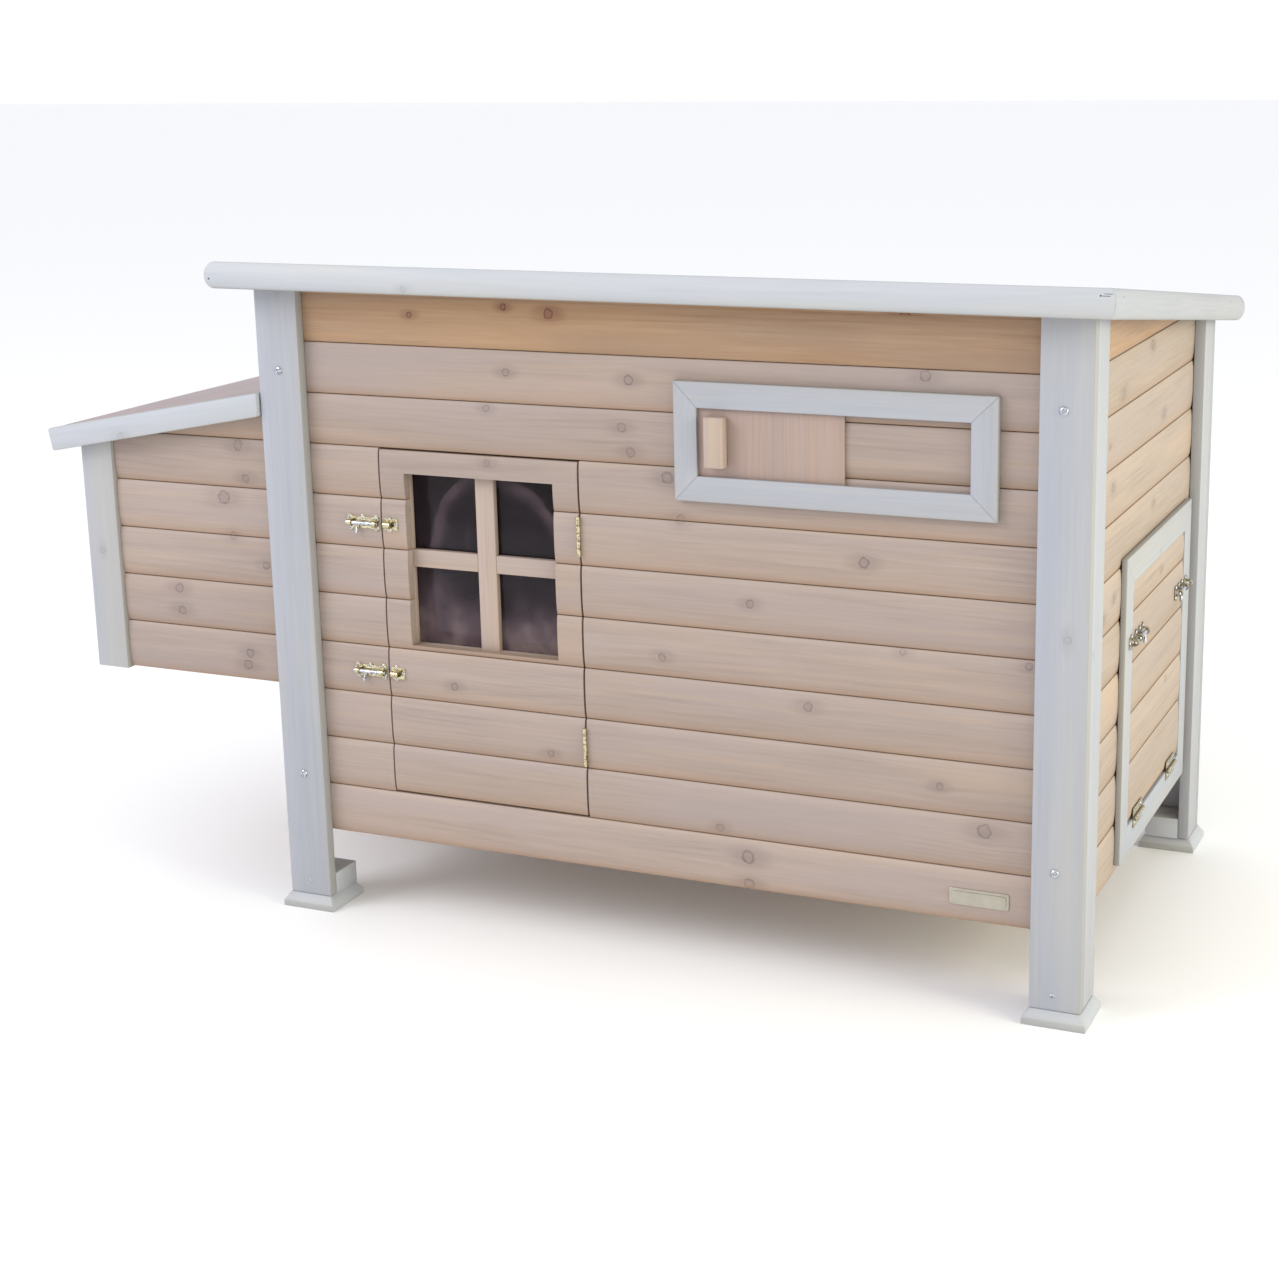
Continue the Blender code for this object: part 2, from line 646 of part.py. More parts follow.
def nest_side(name, face, inward):
    """A boarded front or back of the nest box, its top edge cut to the lid's slope."""
    span = (NEST_END + NEST_POST_WIDTH + GAP, -GAP)
    top = below_lid(span[1])
    outline = board_outline(face, inward, NEST_BOTTOM, top, NEST_BOTTOM)
    wall = body(name, prism(outline, 0, *span), "planks")
    start, end = span[0] - REACH, span[1] + REACH
    slope = [(start, below_lid(start)), (end, below_lid(end)), (start, below_lid(end))]
    cut(wall, prism(slope, 1, *sorted((face - inward * REACH, face + inward * 2 * BOARD_THICK))))


def nest_box():
    front = NEST_FRONT + NEST_RECESS
    back = BODY_DEPTH - front
    nest_post("nest_post_front", False)
    nest_post("nest_post_back", True)
    nest_side("nest_front", front, 1)
    nest_side("nest_back", back, -1)
    ends = (NEST_FRONT + NEST_POST_SIDE + GAP, BODY_DEPTH - NEST_FRONT - NEST_POST_SIDE - GAP)
    end_face = NEST_END + NEST_RECESS
    end_outline = board_outline(end_face, 1, NEST_BOTTOM, below_lid, NEST_BOTTOM)
    body("nest_end", prism(end_outline, 1, *ends), "planks")
    low = (end_face + BOARD_THICK + GAP, front + BOARD_THICK + GAP)
    high = (-GAP, back - BOARD_THICK - GAP)
    wall = LEFT_FACE - GAP
    floor = box((*low, NEST_FLOOR[0]), (*high, NEST_FLOOR[1]))
    floor = body("nest_floor", floor, "plywood")
    between_posts = (POST_SIDE + GAP, BODY_DEPTH - POST_SIDE - GAP)
    tongue = ((high[0] - REACH, between_posts[0]), (wall, between_posts[1]))
    join(floor, box((*tongue[0], NEST_FLOOR[0]), (*tongue[1], NEST_FLOOR[1])))
    near, far = BODY_DEPTH / 2 - DIVIDER_THICK / 2, BODY_DEPTH / 2 + DIVIDER_THICK / 2
    divider = box((low[0], near, NEST_FLOOR[1] + GAP), (wall, far, NEST_DIVIDER_TOP))
    body("nest_divider", divider, "plywood")


def lid_slope_span(x):
    """Distance up the lid's slope, at its top surface, to a given x."""
    return (x - LID_OUTER_X) / math.cos(LID_PITCH)


def lid_piece(spans):
    """A slab of the lid, square at its outer end and plumb at its inner end."""
    inner_end = spans[0][1]

    def place(along, y, height):
        plumb = height * math.tan(LID_PITCH) if abs(along - inner_end) < GAP else 0.0
        return lid_point(along + plumb, y, height)

    return sloped(place, spans)


def nest_lid():
    hinge_z = LID_OUTER_TOP + (LID_HINGE_X - LID_OUTER_X) * math.tan(LID_PITCH)
    pivot = (LID_HINGE_X, 0, hinge_z)
    top = lid_slope_span(LID_INNER_X)
    low_y, high_y = LID_FRONT_Y, BODY_DEPTH - LID_FRONT_Y
    felt = (LID_FELT_TOP - LID_FELT_THICK, LID_FELT_TOP)
    board = (felt[0] - GAP - LID_BOARD_THICK, felt[0] - GAP)
    trim = LID_TRIM_THICK + GAP
    inner_y = (low_y + trim, high_y - trim)
    body("nest_lid_panel", lid_piece(((trim, top), inner_y, board)), "plywood", pivot)
    body("nest_lid_felt", lid_piece(((0.0005, top), inner_y, felt)), "felt", pivot)
    height = (-LID_TRIM_HEIGHT, 0.0)
    front = lid_piece(((0.0, top), (low_y, low_y + LID_TRIM_THICK), height))
    frame = body("nest_lid_trim", front, "white_paint", pivot)
    join(frame, lid_piece(((0.0, top), (high_y - LID_TRIM_THICK, high_y), height)))
    outer = ((0.0, LID_TRIM_THICK), (low_y + 0.004, high_y - 0.004), (height[0], felt[0] - GAP))
    join(frame, sloped(lid_point, outer))
    lid_hinge(pivot)


def lid_hinge(pivot):
    """A strip hinge: a cranked leaf on the coop's wall, one on the lid, half a barrel each."""
    near, far = LID_HINGE_Y
    middle = (near + far) / 2
    x, z = LID_HINGE_X, pivot[2]
    wall = (LEFT_FACE - GAP - PLATE, LEFT_FACE - GAP)
    leaf = box((wall[0], near, z), (wall[1], far, z + LID_HINGE_LEAF))
    fixed = body("nest_hinge_fixed_leaf", leaf, "brass")
    crank = x + LID_HINGE_RADIUS + 2 * GAP
    join(fixed, box((crank, near, z), (wall[1], far, z + PLATE)))
    join(fixed, box((x, near, z), (wall[1], middle - GAP, z + PLATE)))
    join(fixed, rod(1, (x, z), LID_HINGE_RADIUS, near, middle - GAP))
    spans = ((lid_slope_span(LID_INNER_X - LID_HINGE_LEAF), lid_slope_span(-0.0005)), (near, far))
    leaf = sloped(lid_point, (*spans, (LID_FELT_TOP + GAP, LID_FELT_TOP + GAP + PLATE)))
    moving = body("nest_hinge_moving_leaf", leaf, "brass", pivot)
    spans = ((lid_slope_span(LID_INNER_X), lid_slope_span(x)), (middle + GAP, far))
    join(moving, sloped(lid_point, (*spans, (LID_FELT_TOP + 2 * GAP, LID_FELT_TOP + PLATE))))
    join(moving, rod(1, (x, z), LID_HINGE_RADIUS, middle + GAP, far))


for old in list(bpy.data.objects):
    bpy.data.objects.remove(old)
ORIGIN = bpy.data.objects.new("coop_origin", None)
bpy.context.scene.collection.objects.link(ORIGIN)
ORIGIN.location = (-sum(FOOTPRINT_X) / 2, -sum(FOOTPRINT_Y) / 2, 0.0)

posts_and_feet()
front_wall()
back_wall()
side_walls()
inside()
roof()
front_door()
vent()
pop_door()
nest_box()
nest_lid()
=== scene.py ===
"""The visual model of a wooden chicken coop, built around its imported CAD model.

Every boarded wall is made of separate log-profile boards, and each board carries its own
grain: where its points lie along, across and into the wood, its size, its tone and its
knots. The wood materials read those values, so the grain runs the right way everywhere.
"""

import json
import math
import random

import bmesh
import bpy
from mathutils import Matrix, Vector


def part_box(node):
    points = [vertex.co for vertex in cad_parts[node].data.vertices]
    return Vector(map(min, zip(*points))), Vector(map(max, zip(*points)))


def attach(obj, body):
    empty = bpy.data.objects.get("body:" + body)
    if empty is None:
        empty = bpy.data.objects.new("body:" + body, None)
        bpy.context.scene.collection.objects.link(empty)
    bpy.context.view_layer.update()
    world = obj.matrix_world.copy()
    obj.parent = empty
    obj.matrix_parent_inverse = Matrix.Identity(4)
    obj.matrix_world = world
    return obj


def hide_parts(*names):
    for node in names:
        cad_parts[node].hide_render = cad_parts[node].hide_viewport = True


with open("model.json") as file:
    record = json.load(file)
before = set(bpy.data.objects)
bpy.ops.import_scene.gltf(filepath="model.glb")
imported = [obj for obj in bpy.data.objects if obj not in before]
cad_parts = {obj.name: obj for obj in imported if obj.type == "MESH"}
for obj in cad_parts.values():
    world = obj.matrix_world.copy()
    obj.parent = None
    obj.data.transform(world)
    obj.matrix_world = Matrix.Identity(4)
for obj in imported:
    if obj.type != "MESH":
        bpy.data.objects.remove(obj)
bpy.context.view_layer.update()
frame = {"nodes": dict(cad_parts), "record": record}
NODES = frame["nodes"]
RECORD = frame["record"]
BODIES = {node: body for body, nodes in RECORD["behaviour"]["bodies"].items() for node in nodes}

X, Y, Z = Vector((1, 0, 0)), Vector((0, 1, 0)), Vector((0, 0, 1))

# The coop's corner: the outer corner of the front left post, on the ground
CORNER = Vector((*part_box("corner_post_front_left")[0].xy, 0.0))
GAP = 0.0003

# Log-profile boards: the height that each covers, its thickness, the depth of the groove
# between two, and their edges as (distance from the edge, share of the groove's depth)
PITCH = 0.060
BOARD_THICK = 0.012
GROOVE = 0.0046
LOWER_LIP = ((0.0002, 1.0), (0.0005, 0.56), (0.0026, 0.40), (0.0070, 0.23), (0.014, 0.08), (0.023, 0.0))
UPPER_LIP = ((0.0002, 1.0), (0.0004, 0.48), (0.0022, 0.31), (0.0060, 0.15), (0.012, 0.04), (0.020, 0.0))

# Other timber. A spare is what stands over before the slope of the roof or lid cuts it off
POST_THICK = 0.0135
BATTEN = 0.020
ARRIS = 0.0012
FINE_ARRIS = 0.0008
WALL_SPARE = 0.004
POST_SPARE = 0.010

# Roof and nest box lid
ROOF_PITCH = math.radians(7.0)
TRIM_HEIGHT = 0.031
TRIM_DEPTH = 0.018
TRIM_BULGE = 0.009
LID_PITCH = math.radians(10.8)
LID_EAVES = 0.580
LID_LENGTH = 0.310 / math.cos(LID_PITCH)
LID_SIDES = ((-0.006, 0.008), (0.616, 0.630))
LID_CLEAR = (0.0085, 0.6155)
LID_TRIM_LOW = -0.028

# Window sash: the width of its edge, its thickness, its glazing bars and their halving
SASH_EDGE = 0.012
SASH_THICK = 0.008
SASH_BAR = (0.2675, 0.2915)
SASH_LEVEL = (0.438, 0.459)
SASH_LAP = 0.004

# Ironmongery
ROD_OUT = 0.0052
ROD_RADIUS = 0.0024
BOLT_HEIGHT = 0.019
BOLT_LENGTH = 0.0435
KEEPER_LENGTH = 0.019
SCREW_UP = 0.0062
HINGE_RADIUS = 0.0023
HINGE_TURNS = 5
STRIP_RADIUS = 0.0025
STRIP_TURNS = 24


def at(x, y, z):
    """A place given in the coop's corner frame, in metres."""
    return CORNER + Vector((x, y, z))


# ---------------------------------------------------------------- shader formulas


class Value:
    """A number, vector or colour in a shader that can be used in ordinary sums."""

    def __init__(self, tree, socket):
        self.tree, self.socket = tree, socket

    def math(self, operation, *others, clamp=False):
        return derived("ShaderNodeMath", (self, *others), operation=operation, use_clamp=clamp)

    def vector(self, operation, other):
        return derived("ShaderNodeVectorMath", (self, other), operation=operation)

    def __add__(self, other):
        return self.math("ADD", other)

    def __sub__(self, other):
        return self.math("SUBTRACT", other)

    def __mul__(self, other):
        return self.math("MULTIPLY", other)

    def __truediv__(self, other):
        return self.math("DIVIDE", other)

    def __neg__(self):
        return self * -1.0

    def split(self):
        node = derived("ShaderNodeSeparateXYZ", (self,)).socket.node
        return [Value(self.tree, out) for out in node.outputs]

    def between(self, low, high):
        """0 at low, 1 at high, smooth in between; high may be below low."""
        return derived("ShaderNodeMapRange", (self, low, high, 0.0, 1.0), interpolation_type="SMOOTHSTEP")

    def fade(self, reach):
        """1 at zero, falling off over a distance."""
        return (self / -reach).math("EXPONENT")

    def clamped(self):
        return self.math("ADD", 0.0, clamp=True)


def feed(inputs, values):
    for socket, value in zip(inputs, values):
        if isinstance(value, Value):
            value.tree.links.new(value.socket, socket)
        elif isinstance(value, tuple) and len(value) == 3 and len(socket.default_value) == 4:
            socket.default_value = (*value, 1.0)
        else:
            socket.default_value = value


def derived(kind, values, sockets=None, output=0, **settings):
    """The output of a new node that is fed with values, at least one of them a Value."""
    tree = next(value.tree for value in values if isinstance(value, Value))
    node = tree.nodes.new(kind)
    for key, setting in settings.items():
        setattr(node, key, setting)
    feed([node.inputs[key] for key in sockets] if sockets else node.inputs, values)
    return Value(tree, node.outputs[output])


def attribute(tree, name):
    node = tree.nodes.new("ShaderNodeAttribute")
    node.attribute_name = name
    return Value(tree, node.outputs["Vector"])


def own_place(tree):
    """Where a point lies in its object's own space."""
    return Value(tree, tree.nodes.new("ShaderNodeTexCoord").outputs["Object"])


def combine(x, y, z):
    return derived("ShaderNodeCombineXYZ", (x, y, z))


def noise(place, scale=1.0, detail=2.0, roughness=0.5):
    sockets = ("Vector", "Scale", "Detail", "Roughness")
    return derived("ShaderNodeTexNoise", (place, scale, detail, roughness), sockets)


def mix(share, first, second, blend="MIX"):
    """Two colours mixed; the Mix node's colour inputs are its 6 and 7, its colour output its 2."""
    values = (share, first, second)
    return derived("ShaderNodeMix", values, (0, 6, 7), 2, data_type="RGBA", blend_type=blend)


def relief(height, strength, distance):
    return derived("ShaderNodeBump", (height, strength, distance), ("Height", "Strength", "Distance"))


def shade(red, green, blue):
    """A linear colour from 0 to 255 screen values."""

    def linear(level):
        level /= 255.0
        return level / 12.92 if level <= 0.04045 else ((level + 0.055) / 1.055) ** 2.4

    return (linear(red), linear(green), linear(blue))


def dressed(made, **settings):
    """Sets or links inputs of a material's shader, each named with _ in place of a space."""
    shader = made.node_tree.nodes["Principled BSDF"]
    for key, value in settings.items():
        feed([shader.inputs[key.replace("_", " ")]], (value,))
    return made


def principled(name, **settings):
    made = bpy.data.materials.new(name)
    made.use_nodes = True
    return dressed(made, **settings)


# ---------------------------------------------------------------- materials

KNOT_NAMES = ("knot_a", "knot_b", "knot_c")


def knots_in(u, v, rough):
    """How the knots of a board bend its grain, and where they darken it."""
    bend, core, ring, halo = v * 0.0, v * 0.0, v * 0.0, v * 0.0
    for name in KNOT_NAMES:
        along, across, radius = attribute(u.tree, name).split()
        du, dv = u - along, v - across
        wide = (du * 0.55).math("POWER", 2.0) + dv * dv
        push = (radius * radius) / (wide + radius * radius * 0.35 + 1e-9)
        bend = bend + dv * push
        far = (du * du + dv * dv).math("SQRT") / (radius + 1e-5) + (rough - 0.5) * 0.75
        core = core.math("MAXIMUM", far.between(1.05, 0.85))
        ring = ring.math("MAXIMUM", (far - 0.92).math("ABSOLUTE").between(0.26, 0.04))
        halo = halo.math("MAXIMUM", ((wide.math("SQRT") / (radius + 1e-5)) - 0.8).between(2.0, 0.0))
    return bend, core, ring, halo


def wood(name, palette, contrast=0.6, spread=0.10, lip_shade_and_highlight=0.5, rough=0.62, marks=1.0):
    """Softwood boards under a thin stain, from the grain that each board carries.

    palette holds the pale and deep grain, the warm and grey patches, the knots, and the colour of the
    lower lips, partly their own warmer colour and partly painted shade. The lip strength sets how
    strongly the painted shade on the lower lips and seams and the painted highlight on the upper
    lips show; marks sets how strongly the knots show.
    """
    pale, deep, warm, grey, knot, lip = (shade(*levels) for levels in palette)
    made = principled(name, Specular_IOR_Level=0.35)
    tree = made.node_tree
    u, v, w = attribute(tree, "grain").split()
    half_height, tone = attribute(tree, "extent").split()[1:]
    shift = attribute(tree, "shift")
    hue = shift.split()[0]
    ragged = noise(combine(u * 210.0, v * 210.0, 0.0).vector("ADD", shift), 1.0, 1.0)
    bend, core, ring, halo = knots_in(u, v, ragged)
    level = v - bend

    def figure(along, across, detail, roughness, seed):
        place = combine(u * along, level * across, w * across)
        offset = shift.vector("MULTIPLY", (40.0, 40.0, 40.0)).vector("ADD", (seed, seed, seed))
        return noise(place.vector("ADD", offset), 1.0, detail, roughness)

    cloud = figure(5.5, 34.0, 2.0, 0.5, 3.0)
    broad = figure(1.7, 62.0, 1.0, 0.5, 7.0)
    middle = figure(4.5, 200.0, 2.0, 0.55, 11.0)
    fine = figure(13.0, 460.0, 3.0, 0.65, 17.0)
    fibre = figure(60.0, 2600.0, 1.0, 0.5, 23.0)
    sway = figure(1.3, 12.0, 0.0, 0.5, 29.0)
    rings = ((level * 620.0) + (sway * 46.0)).math("SINE") * 0.5 + 0.5
    rings = rings.math("POWER", 4.0) * cloud.between(0.45, 0.62)

    depth = (cloud - 0.5) * 0.8 + (broad - 0.5) * 0.7 + (middle - 0.5) * 0.9
    depth = (depth + (fine - 0.5) * 1.5 + rings * 0.38) * contrast + 0.45
    colour = mix(depth.clamped(), pale, deep)
    warmth = figure(1.6, 15.0, 1.0, 0.5, 31.0).between(0.48, 0.70) * (hue * 0.5 + 0.1)
    colour = mix(warmth, colour, warm)
    coolness = figure(2.1, 17.0, 1.0, 0.5, 37.0).between(0.50, 0.72) * 0.55
    colour = mix(coolness, colour, grey)
    glow = figure(4.2, 95.0, 0.0, 0.5, 41.0).between(0.64, 0.80) * 0.32
    colour = mix(glow, colour, warm)
    speck = figure(30.0, 260.0, 0.0, 0.5, 43.0)
    colour = mix(halo * (speck * 0.25 + 0.12) * marks, colour, knot)
    colour = mix(core * 0.20 * marks, colour, knot)
    colour = mix(ring * (speck * 0.5 + 0.30) * marks, colour, knot)

    # Painted shade darkens the lower lip and the seam; a painted highlight lightens the upper lip
    bottom, top = half_height + v, half_height - v
    # Painted shade on the lower lip; its colour is partly also the lip's own warmer colour
    lower = (bottom.fade(0.0100) * 0.75 + bottom.fade(0.0022) * 0.5) * lip_shade_and_highlight
    colour = mix(lower.clamped(), colour, lip)
    # Painted highlight on the upper lip
    upper = top.fade(0.0060) * (lip_shade_and_highlight * 0.5)
    colour = mix(upper.clamped(), colour, tuple(min(1.0, part * 1.28) for part in pale))
    # Painted shade in the seam between two boards
    seam = bottom.math("MINIMUM", top).between(0.0013, 0.0002) * (0.42 * min(1.0, lip_shade_and_highlight * 2))
    colour = mix(seam, colour, tuple(part * 0.55 for part in lip))
    bright = (tone - 0.5) * spread + 1.0
    colour = mix(1.0, colour, combine(bright, bright, bright), "MULTIPLY")
    height = fine * 0.5 + middle * 0.6 - rings * 0.3 + fibre * 0.35 - ring * 0.5
    return dressed(
        made, Base_Color=colour, Roughness=(fine - 0.5) * 0.25 + rough, Normal=relief(height, 0.30, 0.0004)
    )


def plywood():
    """Rotary-cut ply on the carried-over boards: long soft figure and short pores."""
    made = principled("bare plywood")
    u, v, w = own_place(made.node_tree).split()
    broad = noise(combine(u * 5.0, v * 22.0, w * 22.0), 1.0, 3.0)
    fine = noise(combine(u * 40.0, v * 700.0, w * 700.0), 1.0, 2.0)
    colour = mix(broad.between(0.35, 0.65), shade(180, 160, 143), shade(167, 146, 129))
    colour = mix(fine.between(0.55, 0.75) * 0.3, colour, shade(146, 120, 100))
    rough = (fine - 0.5) * 0.2 + 0.7
    return dressed(made, Base_Color=colour, Roughness=rough, Normal=relief(fine, 0.25, 0.0003))


def felt():
    """Mineral roofing felt: fine granules in bitumen, with a slight sheen."""
    made = principled("roofing felt")
    place = own_place(made.node_tree)
    grain = noise(place, 900.0, 2.0, 0.7)
    colour = mix(grain.between(0.35, 0.65), shade(92, 66, 72), shade(150, 122, 126))
    colour = mix(noise(place, 9.0, 3.0).between(0.3, 0.8) * 0.25, colour, shade(166, 140, 144))
    rough = grain.between(0.2, 0.8) * 0.16 + 0.26
    return dressed(made, Base_Color=colour, Roughness=rough, Normal=relief(grain, 0.35, 0.0004))


def metal(name, bright, tarnish_and_dark_reflection, rough, scale=220.0):
    """Plated metal with cloudy darker patches, partly tarnish and partly painted dark reflections, and a
    faintly scuffed surface.
    """
    made = principled(name, Metallic=1.0)
    place = own_place(made.node_tree)
    cloud = noise(place, scale, 3.0, 0.6)
    scuff = noise(place.vector("MULTIPLY", (3000.0, 500.0, 900.0)), 1.0, 2.0)
    # The darker patches are partly tarnish and partly painted dark reflections
    colour = mix(cloud.between(0.4, 0.7), shade(*bright), shade(*tarnish_and_dark_reflection))
    rough = (scuff - 0.5) * 0.18 + (cloud - 0.5) * 0.15 + rough
    return dressed(made, Base_Color=colour, Roughness=rough, Normal=relief(scuff, 0.12, 0.0001))


def glazing():
    """Dark clear acrylic with a painted reflection in a wide bow, lighter towards its bottom, with faint
    streaks and dust.
    """
    made = principled("clear acrylic", IOR=1.28)
    place = attribute(made.node_tree, "grain")
    u, v, w = place.split()
    wander = noise(place, 11.0, 2.0)
    far = ((u - 0.010) * (u - 0.010) + (v - 0.014) * (v - 0.014)).math("SQRT") + (wander - 0.5) * 0.04
    # Painted reflection: a wide soft bow across the pane
    painted_reflection_bow = far.between(0.066, 0.086) * far.between(0.094, 0.088) * v.between(-0.02, 0.04)
    # Lighter towards the bottom of the pane
    low = (v + (wander - 0.5) * 0.16).between(-0.015, -0.10)
    streak = noise(combine(u * 90.0, v * 9.0, w), 1.0, 2.0).between(0.5, 0.8)
    dust = noise(place, 900.0, 1.0).between(0.68, 0.80) * 0.15
    cloudy = noise(place, 26.0, 3.0).between(0.35, 0.7)
    # The painted reflection and the lighter bottom, with streaks and dust, in one mask
    reflection_and_dust = (painted_reflection_bow * 0.15 + low * 0.38 + streak * 0.04) * (cloudy * 0.6 + 0.4) + dust
    reflection_and_dust = reflection_and_dust.clamped()
    # Where the mask is, the pane takes a lighter olive colour: painted reflection and dust
    colour = mix(reflection_and_dust, shade(156, 132, 148), shade(172, 160, 130))
    clear = -reflection_and_dust * 1.1 + 0.985
    return dressed(made, Base_Color=colour, Roughness=cloudy * 0.10 + 0.03, Transmission_Weight=clear)


# The last colour of each wood palette is the lower lips' painted shade, partly also their warmer colour
FINISHES = {
    "plank": wood(
        "washed planks",
        ((171, 155, 146), (146, 132, 125), (176, 154, 137), (159, 147, 146), (96, 83, 86), (150, 117, 86)),
        lip_shade_and_highlight=0.62, marks=0.85,
    ),
    # A lighter, warmer copy of the washed planks for the right side: painted sunlight
    "painted_sunlit_planks": wood(
        "washed planks painted lighter as sunlit, right side",
        ((176, 161, 149), (153, 138, 126), (183, 162, 143), (166, 153, 147), (104, 91, 88), (155, 122, 88)),
        lip_shade_and_highlight=0.62, marks=0.85,
    ),
    "pine": wood(
        "natural pine",
        ((178, 151, 126), (154, 122, 96), (187, 149, 108), (151, 129, 112), (108, 60, 44), (124, 90, 62)),
        contrast=0.7, lip_shade_and_highlight=0.25, marks=1.5,
    ),
    "white": wood(
        "white stained boards",
        (
            (171, 173, 181), (155, 158, 167), (177, 175, 170), (159, 165, 177),
            (126, 126, 132), (164, 160, 150),
        ),
        contrast=0.5, spread=0.05, lip_shade_and_highlight=0.30, rough=0.55, marks=0.7,
    ),
    "trim": wood(
        "white stained mouldings",
        (
            (184, 187, 194), (170, 174, 182), (190, 189, 182), (174, 179, 190),
            (132, 132, 138), (166, 163, 152),
        ),
        contrast=0.5, spread=0.05, lip_shade_and_highlight=0.30, rough=0.50, marks=0.7,
    ),
    "raw": wood(
        "bare battens",
        ((183, 165, 154), (163, 145, 135), (190, 167, 141), (169, 157, 150), (122, 90, 72), (168, 144, 120)),
        lip_shade_and_highlight=0.1,
    ),
    "ply": wood(
        "plywood slide",
        ((175, 154, 145), (154, 134, 126), (176, 148, 130), (160, 144, 140), (128, 98, 84), (164, 136, 112)),
        contrast=0.55, lip_shade_and_highlight=0.05,
    ),
    # Each metal's second colour is that of its darker patches: partly tarnish, partly painted dark reflection
    "brass": metal("brass", (214, 204, 170), (128, 116, 84), 0.27, 420.0),
    "aged": metal("aged brass", (186, 176, 148), (98, 90, 70), 0.30, 420.0),
    "strip": metal("strip hinge", (206, 196, 164), (182, 171, 138), 0.36, 120.0),
    "zinc": metal("zinc", (206, 210, 218), (124, 130, 142), 0.24, 380.0),
    "blank": metal("blank plate", (184, 179, 168), (170, 164, 150), 0.36, 25.0),
    "dark": metal("dark nails", (92, 96, 100), (60, 62, 66), 0.5),
    "felt": felt(),
    "sheet": plywood(),
    "glazing": glazing(),
}


# ---------------------------------------------------------------- solids


def bridge(solid, rings, closed=True):
    for low, high in zip(rings, rings[1:]):
        for i in range(len(low)):
            j = (i + 1) % len(low)
            solid.faces.new((low[i], low[j], high[j], high[i]))
    if closed:
        solid.faces.new(rings[0])
        solid.faces.new(rings[-1])
    bmesh.ops.recalc_face_normals(solid, faces=solid.faces)


def lofted(rings, solid=None):
    """A closed solid through rings of points, or one more shell of a given solid."""
    if solid is None:
        solid = bmesh.new()
    bridge(solid, [[solid.verts.new(point) for point in ring] for ring in rings])
    return solid


def prism(outline, basis, origin, start, end, solid=None):
    """A closed solid: an outline in (first, second) pushed along the third direction.

    basis holds the three directions, and start and end may be functions of the outline's
    first coordinate.
    """

    def ring(place):
        reach = [place(p) if callable(place) else place for p, _ in outline]
        return [origin + basis[0] * p + basis[1] * q + basis[2] * r for (p, q), r in zip(outline, reach)]

    return lofted([ring(start), ring(end)], solid)


def rectangle(low, high):
    return [(low[0], low[1]), (high[0], low[1]), (high[0], high[1]), (low[0], high[1])]


def box_solid(low, high):
    return prism(rectangle(low[:2], high[:2]), (X, Y, Z), Vector(), low[2], high[2])


def block(low, high, arris=ARRIS):
    """A board or batten with eased edges between two corners."""
    return eased(box_solid(Vector(map(min, low, high)), Vector(map(max, low, high))), arris)


def eased(solid, arris, angle=40.0):
    """Rounds the sharp edges of a solid."""
    if arris:
        sharp = [e for e in solid.edges if e.calc_face_angle(0.0) > math.radians(angle)]
        bmesh.ops.bevel(
            solid, geom=sharp, offset=arris, segments=2, profile=0.5,
            affect="EDGES", clamp_overlap=True,
        )
    return solid


def trimmed(solid, point, normal):
    """Cuts away what lies beyond a plane, and closes the cut."""
    parts = [*solid.verts, *solid.edges, *solid.faces]
    cut = bmesh.ops.bisect_plane(
        solid, geom=parts, plane_co=point, plane_no=normal, clear_outer=True, dist=1e-6
    )
    edges = [part for part in cut["geom_cut"] if isinstance(part, bmesh.types.BMEdge)]
    bmesh.ops.holes_fill(solid, edges=edges, sides=0)
    bmesh.ops.recalc_face_normals(solid, faces=solid.faces)
    return solid


def shown(name, data):
    """A new object in the scene."""
    made = bpy.data.objects.new(name, data)
    bpy.context.scene.collection.objects.link(made)
    return made


def temporary(solid):
    mesh = bpy.data.meshes.new("temporary")
    solid.to_mesh(mesh)
    solid.free()
    return shown("temporary", mesh)


def carved(solid, holes):
    """Cuts boxes, each given by two corners, out of a solid."""
    if not holes:
        return solid
    holder = temporary(solid)
    tools = [temporary(box_solid(low, high)) for low, high in holes]
    for tool in tools:
        change = holder.modifiers.new("Cut", "BOOLEAN")
        change.operation = "DIFFERENCE"
        change.object = tool
    shaped = bpy.data.meshes.new_from_object(
        holder.evaluated_get(bpy.context.evaluated_depsgraph_get())
    )
    result = bmesh.new()
    result.from_mesh(shaped)
    bpy.data.meshes.remove(shaped)
    for old in (holder, *tools):
        mesh = old.data
        bpy.data.objects.remove(old)
        bpy.data.meshes.remove(mesh)
    return result


def moved(solid, matrix):
    bmesh.ops.transform(solid, matrix=matrix, verts=solid.verts)
    return solid


def placed(solid, basis, origin):
    """Moves a solid drawn in (along, up, out) to its place."""
    matrix = Matrix(basis).transposed().to_4x4()
    matrix.translation = origin
    moved(solid, matrix)
    bmesh.ops.recalc_face_normals(solid, faces=solid.faces)
    return solid


def islands(solid):
    """The separate shells of a mesh, each as its list of vertices."""
    seen, found = set(), []
    for start in solid.verts:
        if start in seen:
            continue
        seen.add(start)
        shell, queue = [], [start]
        while queue:
            vert = queue.pop()
            shell.append(vert)
            for edge in vert.link_edges:
                other = edge.other_vert(vert)
                if other not in seen:
                    seen.add(other)
                    queue.append(other)
        found.append(shell)
    return found


